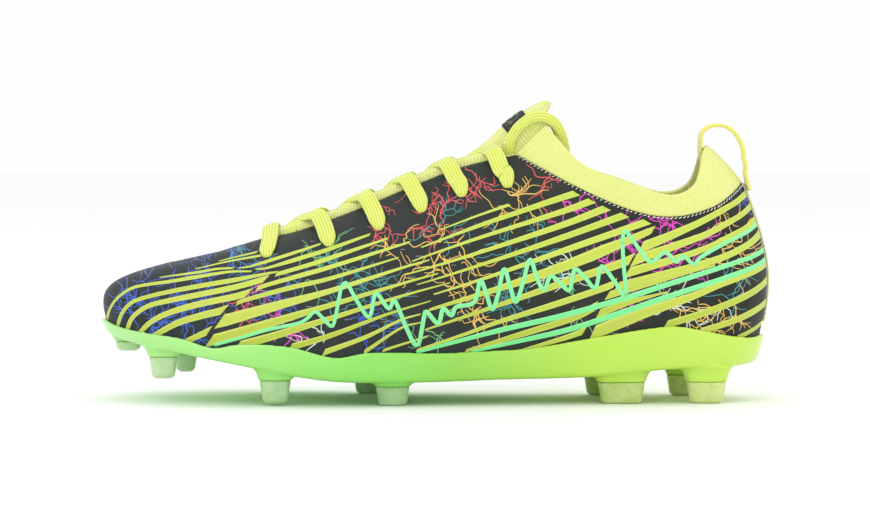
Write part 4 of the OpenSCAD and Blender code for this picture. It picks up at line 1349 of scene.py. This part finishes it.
class Printer:
    """Collects ribbons for one side and writes them as one mesh."""

    def __init__(self, finder):
        self.finder = finder
        self.points, self.faces, self.tints, self.looks = [], [], [], []
        self.count = 0

    def ribbon(self, line, widths, height_mm, look=0, shade=0.0, slant=(0.0, 0.0), wrap=False, columns=5,
               step=1.3):
        """A closed strip that follows the skin; widths are spread evenly along the line."""
        line = resample(line, step)
        w, v, miss = self.finder.find(line)
        good = miss < 0.7
        if not good.any():
            return
        first, last = np.argmax(good), len(good) - 1 - np.argmax(good[::-1])
        if last - first < 2:
            return
        share = np.linspace(0, 1, len(line))
        width = np.interp(share, np.linspace(0, 1, len(widths)), widths)
        seen = slice(first, last + 1)
        w, v, width, line, share = w[seen], v[seen], width[seen], line[seen], share[seen]
        if columns == 2:
            self.hair(w, v, width, height_mm, look, shade)
            return
        run = unit(np.gradient(line, axis=0))
        across = np.stack([-run[:, 1], run[:, 0]], axis=1)
        lean = slant[0] + (slant[1] - slant[0]) * share ** 3
        across = across * np.sign(across[:, 1:2] + 1e-6) - lean[:, None] * run
        offsets = np.linspace(-1, 1, columns)
        places = line[:, None] + across[:, None] * (width[:, None] / 2 * offsets[None, :])[..., None]
        ring_w, ring_v, _ = self.finder.find(places.reshape(-1, 2))
        ring_w, ring_v = [values.reshape(len(line), columns) for values in (ring_w, ring_v)]
        if wrap:
            ring_w, ring_v = self.run_on(ring_w, ring_v)
        order = list(range(columns)) + [columns - 1, 0]
        self.rings(ring_w[:, order], ring_v[:, order], offsets[order], height_mm, look, shade, columns)

    def run_on(self, w, v):
        """Carries the columns of a strip on round the heel to the middle line."""
        target = 0.1 if self.finder.side == LATERAL else 33.9
        # the last stretch is seen edge on from the side, so it is laid out anew
        clear = np.abs(target - w).min(axis=1) > 0.9
        if not clear.any():
            return w, v
        end = len(clear) - np.argmax(clear[::-1])
        w, v = w[:end], v[:end]
        left = target - w[-1]
        if np.abs(left).max() > 3.2:
            return w, v
        back = min(6, len(w) - 1)
        gone = w[-1].mean() - w[-1 - back].mean()
        slope = (v[-1].mean() - v[-1 - back].mean()) / gone if abs(gone) > 0.02 else 0.0
        slope = float(np.clip(slope, -0.1, 0.1))
        steps = max(int(np.abs(left).max() / 0.07), 2)
        more = w[-1] + left * np.linspace(0, 1, steps + 1)[1:, None]
        return np.concatenate([w, more]), np.concatenate([v, np.clip(v[-1] + slope * (more - w[-1]), 0, 0.99)])

    def hair(self, w, v, width, height_mm, look, shade):
        """A strip so narrow that its sides are taken from the skin's slope along its line."""
        e = 0.01
        dw = (skin_at(w + e, v) - skin_at(w - e, v)) / (2 * e)
        dv = (skin_at(w, v + e) - skin_at(w, v - e)) / (2 * e)
        run = unit(np.gradient(skin_at(w, v), axis=0))
        cross = unit(np.cross(unit(np.cross(dw, dv)), run))
        # solve cross = a * dw + b * dv in the tangent plane
        ww, wv, vv = [np.sum(p * q, axis=1) for p, q in ((dw, dw), (dw, dv), (dv, dv))]
        cw, cv = np.sum(cross * dw, axis=1), np.sum(cross * dv, axis=1)
        det = ww * vv - wv ** 2
        a, b = (cw * vv - cv * wv) / det, (cv * ww - cw * wv) / det
        offsets = np.array([-1.0, 1.0, 1.0, -1.0])
        reach = width[:, None] / 2 * offsets[None, :]
        ring_v = np.clip(v[:, None] + b[:, None] * reach, -0.02, 0.999)
        self.rings(w[:, None] + a[:, None] * reach, ring_v, offsets, height_mm, look, shade, 2)

    def rings(self, ring_w, ring_v, offsets, height_mm, look, shade, columns):
        """Adds one closed strip from the skin parameters of its rings."""
        depth = np.r_[np.full(columns, height_mm), -0.25, -0.25]
        rings = skin_at(ring_w, ring_v, depth[None, :] + 0 * ring_w)
        n, m = rings.shape[:2]
        base = self.count
        self.points.append(rings.reshape(-1, 3))
        faces = quads(n, m, wrap_cols=True, base=base).tolist()
        faces += [[base + k for k in range(m)], [base + (n - 1) * m + k for k in range(m)][::-1]]
        self.faces += faces
        self.looks += [look] * len(faces)
        # tint x marks a strip's borders, where the print material lays a painted highlight
        edge = (np.abs(offsets) > 0.95).astype(float)
        tint = np.zeros((n, m, 3))
        tint[..., 0] = edge[None, :]
        tint[..., 1] = shade
        self.tints.append(tint.reshape(-1, 3))
        self.count += n * m

    def finish(self, name, *materials):
        obj = make_object(name, np.concatenate(self.points), self.faces, tint=np.concatenate(self.tints))
        obj.data.polygons.foreach_set("material_index", np.array(self.looks, np.int32))
        dress(obj, *materials)
        obj.data.polygons.foreach_set("material_index", np.array(self.looks, np.int32))
        recalc(obj)
        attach(obj, "shoe")
        return obj


# Each stripe: its points (x, z) on the elevation, and its widths spread along it
TOE_STRIPES = [
    ([(-91, 60.3), (-83, 62.3), (-74.8, 64.2)], [0.3, 0.7]),
    ([(-101, 57), (-87, 60.2), (-72.7, 62.8)], [0.3, 0.9]),
    ([(-116, 53.5), (-100, 55.6), (-92, 57), (-85, 57.4)], [0.3, 1.0, 0.7]),
    ([(-138.5, 34), (-137, 40), (-133.5, 45), (-127.5, 49), (-119.5, 50.7), (-112, 51.7), (-98.9, 53.9),
      (-86.7, 55.8), (-77.3, 56)], [0.9, 1.2, 1.5, 0.6]),
    ([(-134, 31.5), (-132, 38), (-127.5, 43), (-119.5, 45.7), (-110, 47.8), (-98.9, 49.9), (-84.3, 52.4),
      (-71, 55), (-66.3, 55.8)], [1.3, 1.6, 1.9, 1.9, 0.6]),
    ([(-130, 30), (-127.5, 36.4), (-121, 41.3), (-111, 43.9), (-98.9, 46.3), (-83.2, 49.6), (-71, 53)],
     [1.6, 2.3, 2.3]),
    ([(-125.5, 28.8), (-119.5, 34.8), (-111, 38.9), (-98.9, 42.3), (-85, 45.2), (-78.4, 47)], [1.8, 2.6, 2.7]),
    ([(-120.5, 27.6), (-109, 34), (-98.9, 37.2), (-92, 38.9), (-88.5, 39.9)], [2.2, 3.1]),
    ([(-105, 26.4), (-98.5, 29.4), (-95, 31)], [2.2, 2.7]),
]
MIDDLE_STRIPES = [
    ([(-82.9, 57.4), (-78, 58.1), (-66, 61.7), (-56, 64.9), (-47.9, 67.7)], [0.4, 1.3, 1.2, 0.7]),
    ([(-75.7, 57.1), (-71, 57.4), (-55.3, 62), (-44.2, 65.5), (-27.3, 71.6)], [0.5, 1.7, 1.6, 0.8]),
    ([(-67, 54.7), (-52.5, 58.9), (-44.2, 61.6), (-19.8, 69.9)], [1.5, 1.8, 0.7]),
    ([(-75.2, 48.6), (-71, 50.2), (-58.8, 53.7), (-44.2, 57.8), (-10.5, 68.4)], [1.6, 1.9, 1.5, 0.7]),
    ([(-83.6, 42.5), (-79.4, 44.1), (-60.5, 49.2), (-44.2, 53), (-15.4, 61.8)], [1.6, 2, 1.5, 0.5]),
    ([(-90.8, 34.9), (-84.9, 36.3), (-67.5, 41.2), (-44.2, 47.7), (-14.7, 57.2), (-2.3, 60.8)],
     [5.1, 3.9, 2.3, 1.5, 0.5]),
    ([(-95, 26.8), (-90.2, 28), (-74.5, 32.6), (-57, 37.9), (-44.2, 41.7), (-14.7, 50.6), (1.3, 55.1)],
     [4.6, 3.7, 2.2, 1.5, 0.5]),
    ([(-83.2, 24.6), (-71, 27.9), (-55.3, 32.7), (-44.2, 36.1), (-14.7, 45.4), (6.3, 51.2)], [3.6, 3, 1.9, 1.2, 0.4]),
    ([(-61.2, 23.9), (-44.2, 28.9), (-20.5, 37.8), (-1.7, 43.6)], [2.8, 2, 1.2, 0.4]),
    ([(-47, 21.7), (-29, 28.4), (-14.7, 35.4), (-6, 38)], [2.4, 1.6, 0.6]),
    ([(-30, 21.8), (-14.7, 31.9), (-6, 34.5)], [1.6, 0.6]),
    ([(-22, 22.6), (-14.7, 25), (-2.8, 28.7)], [1.2, 0.6]),
]
COLLAR_STRIPES = [
    ([(2.2, 73.5), (17, 79.1), (31.4, 84.1)], [0.4, 1.2]),
    ([(-5.8, 66.1), (17.3, 74.8), (40.1, 82.6), (52.7, 86.8), (59.6, 89)], [0.5, 1.5, 2.1, 2.8]),
    ([(-9.7, 60.2), (-1, 63.4), (21.9, 71.2), (52.7, 80.9), (66.2, 85.8)], [0.5, 1.3, 1.9, 2.9]),
    ([(-12, 54.7), (3.6, 59.3), (21.9, 65), (52.7, 75.2), (72.3, 82.7)], [0.5, 1.4, 2.3, 3.1]),
    ([(-7.6, 50.4), (8.2, 55.2), (35.6, 64.1), (56.9, 71.4), (80.1, 79.8)], [0.4, 1.4, 2.4, 3.0]),
    ([(-0.5, 46.3), (21.9, 53.4), (52.7, 64.2), (89.4, 77)], [0.6, 1.6, 2.6, 3.0]),
]
QUARTER_STRIPES = [
    ([(-2.8, 39.7), (19.1, 46.4), (37.8, 52.4), (56.9, 59.2), (80, 68.4), (92, 73.6)], [1.1, 2.2, 3.8, 4.8, 2.4]),
    ([(-4.2, 31.4), (13.6, 37.3), (37, 45.3), (56.9, 52.2), (75.5, 58.4), (83, 61.3)], [0.7, 1.8, 3, 3.6]),
    ([(-7.8, 22.8), (12.7, 29.6), (26.4, 34.6), (52.7, 42.8), (71, 49), (76, 51.2)], [0.8, 1.6, 2.6, 2.8]),
    ([(12.7, 22.3), (31, 27.9), (56.9, 36), (68, 41.4)], [1.4, 2.6, 3]),
    ([(35.6, 22.4), (52.7, 27.4), (63, 31)], [1.2, 2.6]),
]
HEEL_STRIPES = [
    ([(86.5, 65.9), (99.6, 71.2), (114.2, 78), (131.1, 87.6)], [4.2, 2.8, 2.2]),
    ([(83.5, 60.6), (99.7, 66.2), (114.2, 71.6), (123.8, 76.7), (133.3, 82.3)], [4.2, 2.8, 2.1]),
    ([(80.8, 55.4), (99.7, 60.8), (114.2, 65.8), (123.8, 70.5), (135, 76.3)], [3.8, 2.6, 2.2]),
    ([(76.5, 49.6), (94.8, 54.4), (109.3, 58.2), (123.8, 63), (136.9, 70.2)], [3.2, 2.6]),
    ([(72.5, 45.8), (89.2, 50.7), (105.2, 55.3), (118, 58.6)], [3, 2.4, 0.8]),
    ([(68.6, 38), (81.9, 43), (98, 47.4)], [3.2, 2.2, 0.5]),
    ([(66, 29.6), (75, 33.4), (89.2, 38.9), (107, 45), (119, 49.9), (128.7, 53.4), (138, 57)],
     [5.4, 5, 3.6, 2.4, 1.6]),
    ([(97, 33.4), (114.2, 38.8), (128.7, 44.6), (139.8, 50.9)], [3, 2.8, 2.5]),
    ([(111, 30.4), (128.7, 36.4), (140, 43.2)], [2.6, 2.4]),
    ([(127, 28), (133, 30.8), (138.8, 34)], [1.6, 1.8]),
]
MINT_LINES = [
    [(-7.8, 21.9), (26.4, 31), (54, 37.4), (79.6, 44.6), (94.8, 49.5), (118, 56.9), (138.3, 63.7)],
    [(15, 22.1), (35, 26.6), (56.9, 31.7), (81.9, 39.8), (94.8, 44.3), (119, 52.2), (138.8, 59.3)],
]
# One pulse trace; a plain wave runs through its middle
PULSE = [(-93, 25), (-82, 28), (-70, 31.5), (-58, 34), (-54, 36), (-50.5, 39), (-47, 36), (-44, 33),
         (-42.5, 34.4), (-40.5, 44), (-39.5, 49), (-38, 51), (-36.5, 50), (-32, 42), (-28.5, 37), (-27, 38),
         (-25.5, 45.7), (-24, 46.2), (-19.5, 40.3), (-17, 43.6), (-13, 34.4), (-9.5, 26.7), (-8, 25),
         (-6.5, 26.7), (-4.5, 37.4), (-3.5, 39), (0.5, 34.4), (2, 35), (3.5, 40.3), (7, 37.4), (9, 41),
         (16.5, 43), (19, 52), (21.5, 47), (24, 40), (26.5, 46), (29, 57), (31.5, 50), (34, 43), (37, 51),
         (40, 61), (43, 53), (46, 48), (49, 54), (56, 48), (57.5, 51), (59, 57), (63.5, 53), (67.5, 49),
         (69.5, 57), (71, 57.8), (75.5, 52), (80.5, 45), (79.5, 58), (79, 69), (80, 73), (82, 71), (86.5, 64.7),
         (91, 60), (97, 64), (101.5, 60), (104.5, 62.5), (109, 59), (112, 62), (120, 66.7), (135, 74.3)]

# Cracks: colour, centre of the cluster (x, z), reach, arms
CRACKS = [
    ("blue", (-118, 42), 16, 9), ("blue", (-104, 36), 14, 8), ("blue", (-92, 48), 14, 7),
    ("blue", (-128, 40), 10, 6), ("blue", (-62, 40), 15, 6), ("blue", (-28, 33), 14, 6),
    ("teal", (-72, 52), 12, 5), ("teal", (-34, 56), 16, 9), ("teal", (-24, 44), 13, 6), ("teal", (6, 70), 12, 5),
    ("teal", (40, 63), 13, 8), ("teal", (34, 44), 12, 5), ("green", (-46, 62), 14, 5), ("green", (-4, 30), 12, 5),
    ("green", (60, 40), 12, 5), ("red", (-22, 78), 13, 6), ("red", (-2, 83), 13, 6), ("red", (16, 90), 13, 6),
    ("red", (48, 90), 10, 7), ("red", (-6, 74), 10, 4), ("gold", (8, 60), 15, 9), ("gold", (14, 45), 13, 6),
    ("gold", (32, 86), 12, 6), ("gold", (-16, 66), 10, 4), ("gold", (130, 72), 13, 7), ("gold", (118, 80), 10, 5),
    ("gold", (22, 33), 12, 6), ("magenta", (62, 84), 10, 6), ("magenta", (76, 72), 15, 9),
    ("magenta", (96, 82), 12, 7), ("magenta", (92, 56), 14, 8), ("magenta", (84, 42), 12, 6),
    ("magenta", (112, 64), 13, 7), ("magenta", (-62, 31), 10, 5), ("white", (104, 37), 13, 8),
    ("gold", (106, 36), 12, 6), ("white", (50, 54), 12, 5), ("white", (-50, 28), 9, 4), ("red", (-78, 42), 10, 4),
    ("teal", (128, 50), 12, 5), ("gold", (120, 40), 11, 6), ("blue", (-118, 57), 13, 8),
    ("blue", (-98, 63), 13, 8), ("teal", (-84, 69), 12, 7), ("blue", (129, 87), 7, 5), ("gold", (131, 62), 12, 5),
    ("blue", (-132, 48), 9, 6), ("red", (-84, 36), 9, 5), ("magenta", (-74, 50), 8, 4),
]


def crack_lines(dice, centre, reach, arms):
    """Jagged branching lines that wander from places near a centre: each is a list of (x, z)."""
    lines = []
    for k in range(arms):
        angle = 2 * math.pi * (k + dice.uniform(-0.5, 0.5)) / arms
        off = reach * 0.75 * dice.random()
        turn = dice.uniform(0, 2 * math.pi)
        start = (centre[0] + off * math.cos(turn), centre[1] + off * math.sin(turn))
        grow(dice, lines, start, angle, reach * dice.uniform(0.6, 1.5), 3)
    return lines


def grow(dice, lines, start, angle, left, depth):
    x, z = start
    line = [(x, z)]
    while left > 0 and len(line) < 14:
        step = dice.uniform(1.2, 3.6)
        turn = dice.uniform(-0.95, 0.95)
        x += step * math.cos(angle + turn)
        z += step * math.sin(angle + turn)
        line.append((x, z))
        left -= step
        if depth and left > 3 and dice.random() < 0.34:
            fork = angle + dice.choice((-1, 1)) * dice.uniform(0.6, 1.3)
            grow(dice, lines, (x, z), fork, left * dice.uniform(0.5, 0.8), depth - 1)
    if len(line) > 2:
        lines.append(line)


CRACK_HEIGHT, STRIPE_HEIGHT, MINT_HEIGHT, PULSE_HEIGHT = 0.07, 0.12, 0.17, 0.22


def print_side(side, name):
    finder = SidePrint(side)
    dice = random.Random(21 if side == LATERAL else 34)
    stripes = Printer(finder)
    for line, widths in TOE_STRIPES:
        stripes.ribbon(line, widths, STRIPE_HEIGHT, shade=dice.random(), slant=(0.0, -1.5))
    for group, slant in ((MIDDLE_STRIPES, -1.1), (COLLAR_STRIPES, 0.85), (QUARTER_STRIPES, -1.2)):
        for line, widths in group:
            stripes.ribbon(line, widths, STRIPE_HEIGHT, shade=dice.random(), slant=(slant, slant))
    for line, widths in HEEL_STRIPES:
        stripes.ribbon(line, widths, STRIPE_HEIGHT, shade=dice.random(), slant=(-1.1, 0.0),
                       wrap=line[-1][0] > 125)
    stripes.finish("print_stripes_" + name, STRIPE)
    mint = Printer(finder)
    for line in MINT_LINES:
        mint.ribbon(line, [1.2, 2.2, 2.4, 2.2, 1.9], MINT_HEIGHT, wrap=True)
    mint.ribbon(PULSE, [1.3, 1.8, 1.7, 1.6], PULSE_HEIGHT, wrap=True, columns=3, step=0.7)
    mint.finish("print_pulse_" + name, MINT)
    keys = list(CRACK_COLOURS)
    cracks = Printer(finder)
    for colour, centre, reach, arms in CRACKS:
        for line in crack_lines(dice, centre, reach, arms):
            thick = dice.uniform(0.26, 0.5)
            cracks.ribbon(line, [thick, thick, 0.25], CRACK_HEIGHT, look=keys.index(colour),
                          shade=dice.random(), columns=2, step=1.0)
    # short grey dashes, as of a broken picture
    for _ in range(60):
        x, z = dice.uniform(-90, 110), dice.uniform(28, 74)
        long = dice.uniform(1.5, 4)
        cracks.ribbon([(x, z), (x + long / 2, z), (x + long, z)], [0.3, 0.3], CRACK_HEIGHT,
                      look=keys.index("grey"), columns=2, step=1.0)
    cracks.finish("print_cracks_" + name, *[CRACK_MATERIALS[key] for key in keys])


# ---- floor, light and the last lines ----


def make_stage():
    side = 4000.0
    corners = [[-side, -side, 0], [side, -side, 0], [side, side, 0], [-side, side, 0]]
    floor = make_object("floor", np.array(corners), [[0, 1, 2, 3]])
    dress(floor, floor_material())


def area_light(name, place, aim, size, power, tint=(1, 1, 1)):
    data = bpy.data.lights.new(name, "AREA")
    data.shape = "RECTANGLE"
    data.size, data.size_y = size
    data.energy = power
    data.color = tint
    lamp = bpy.data.objects.new(name, data)
    lamp.location = place
    lamp.rotation_euler = (Vector(aim) - Vector(place)).to_track_quat("-Z", "Y").to_euler()
    bpy.context.scene.collection.objects.link(lamp)


def make_light():
    world = bpy.data.worlds.new("studio")
    world.use_nodes = True
    world.node_tree.nodes["Background"].inputs["Color"].default_value = (1, 1, 1, 1)
    world.node_tree.nodes["Background"].inputs["Strength"].default_value = 0.99
    bpy.context.scene.world = world
    area_light("key", (-0.6, -1.1, 1.2), (0, 0, 0.05), (0.9, 0.7), 3.4)
    area_light("fill", (1.1, -0.9, 0.7), (0, 0, 0.05), (0.8, 0.6), 1.1)
    area_light("top", (0, 0.1, 1.5), (0, 0, 0.05), (1.2, 0.8), 2.0)
    area_light("back", (0.3, 1.3, 0.9), (0, 0, 0.06), (1.0, 0.8), 1.6)


NODE_LOOKS = {
    "toe_puff": STIFFENER, "heel_counter": STIFFENER, "insole_board": BOARD,
    "eyestay_facing_lateral": FACING, "eyestay_facing_medial": FACING,
}

make_upper()
make_collar()
make_heel_strip()
make_tongue()
make_label()
make_throat_band()
make_lace()
make_pull_loop()
make_plate()
make_tips()
make_footbed()
print_side(LATERAL, "lateral")
print_side(MEDIAL, "medial")
for node, look in NODE_LOOKS.items():
    dress(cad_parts[node], look)
make_stage()
make_light()
bpy.context.scene.view_settings.view_transform = "Standard"
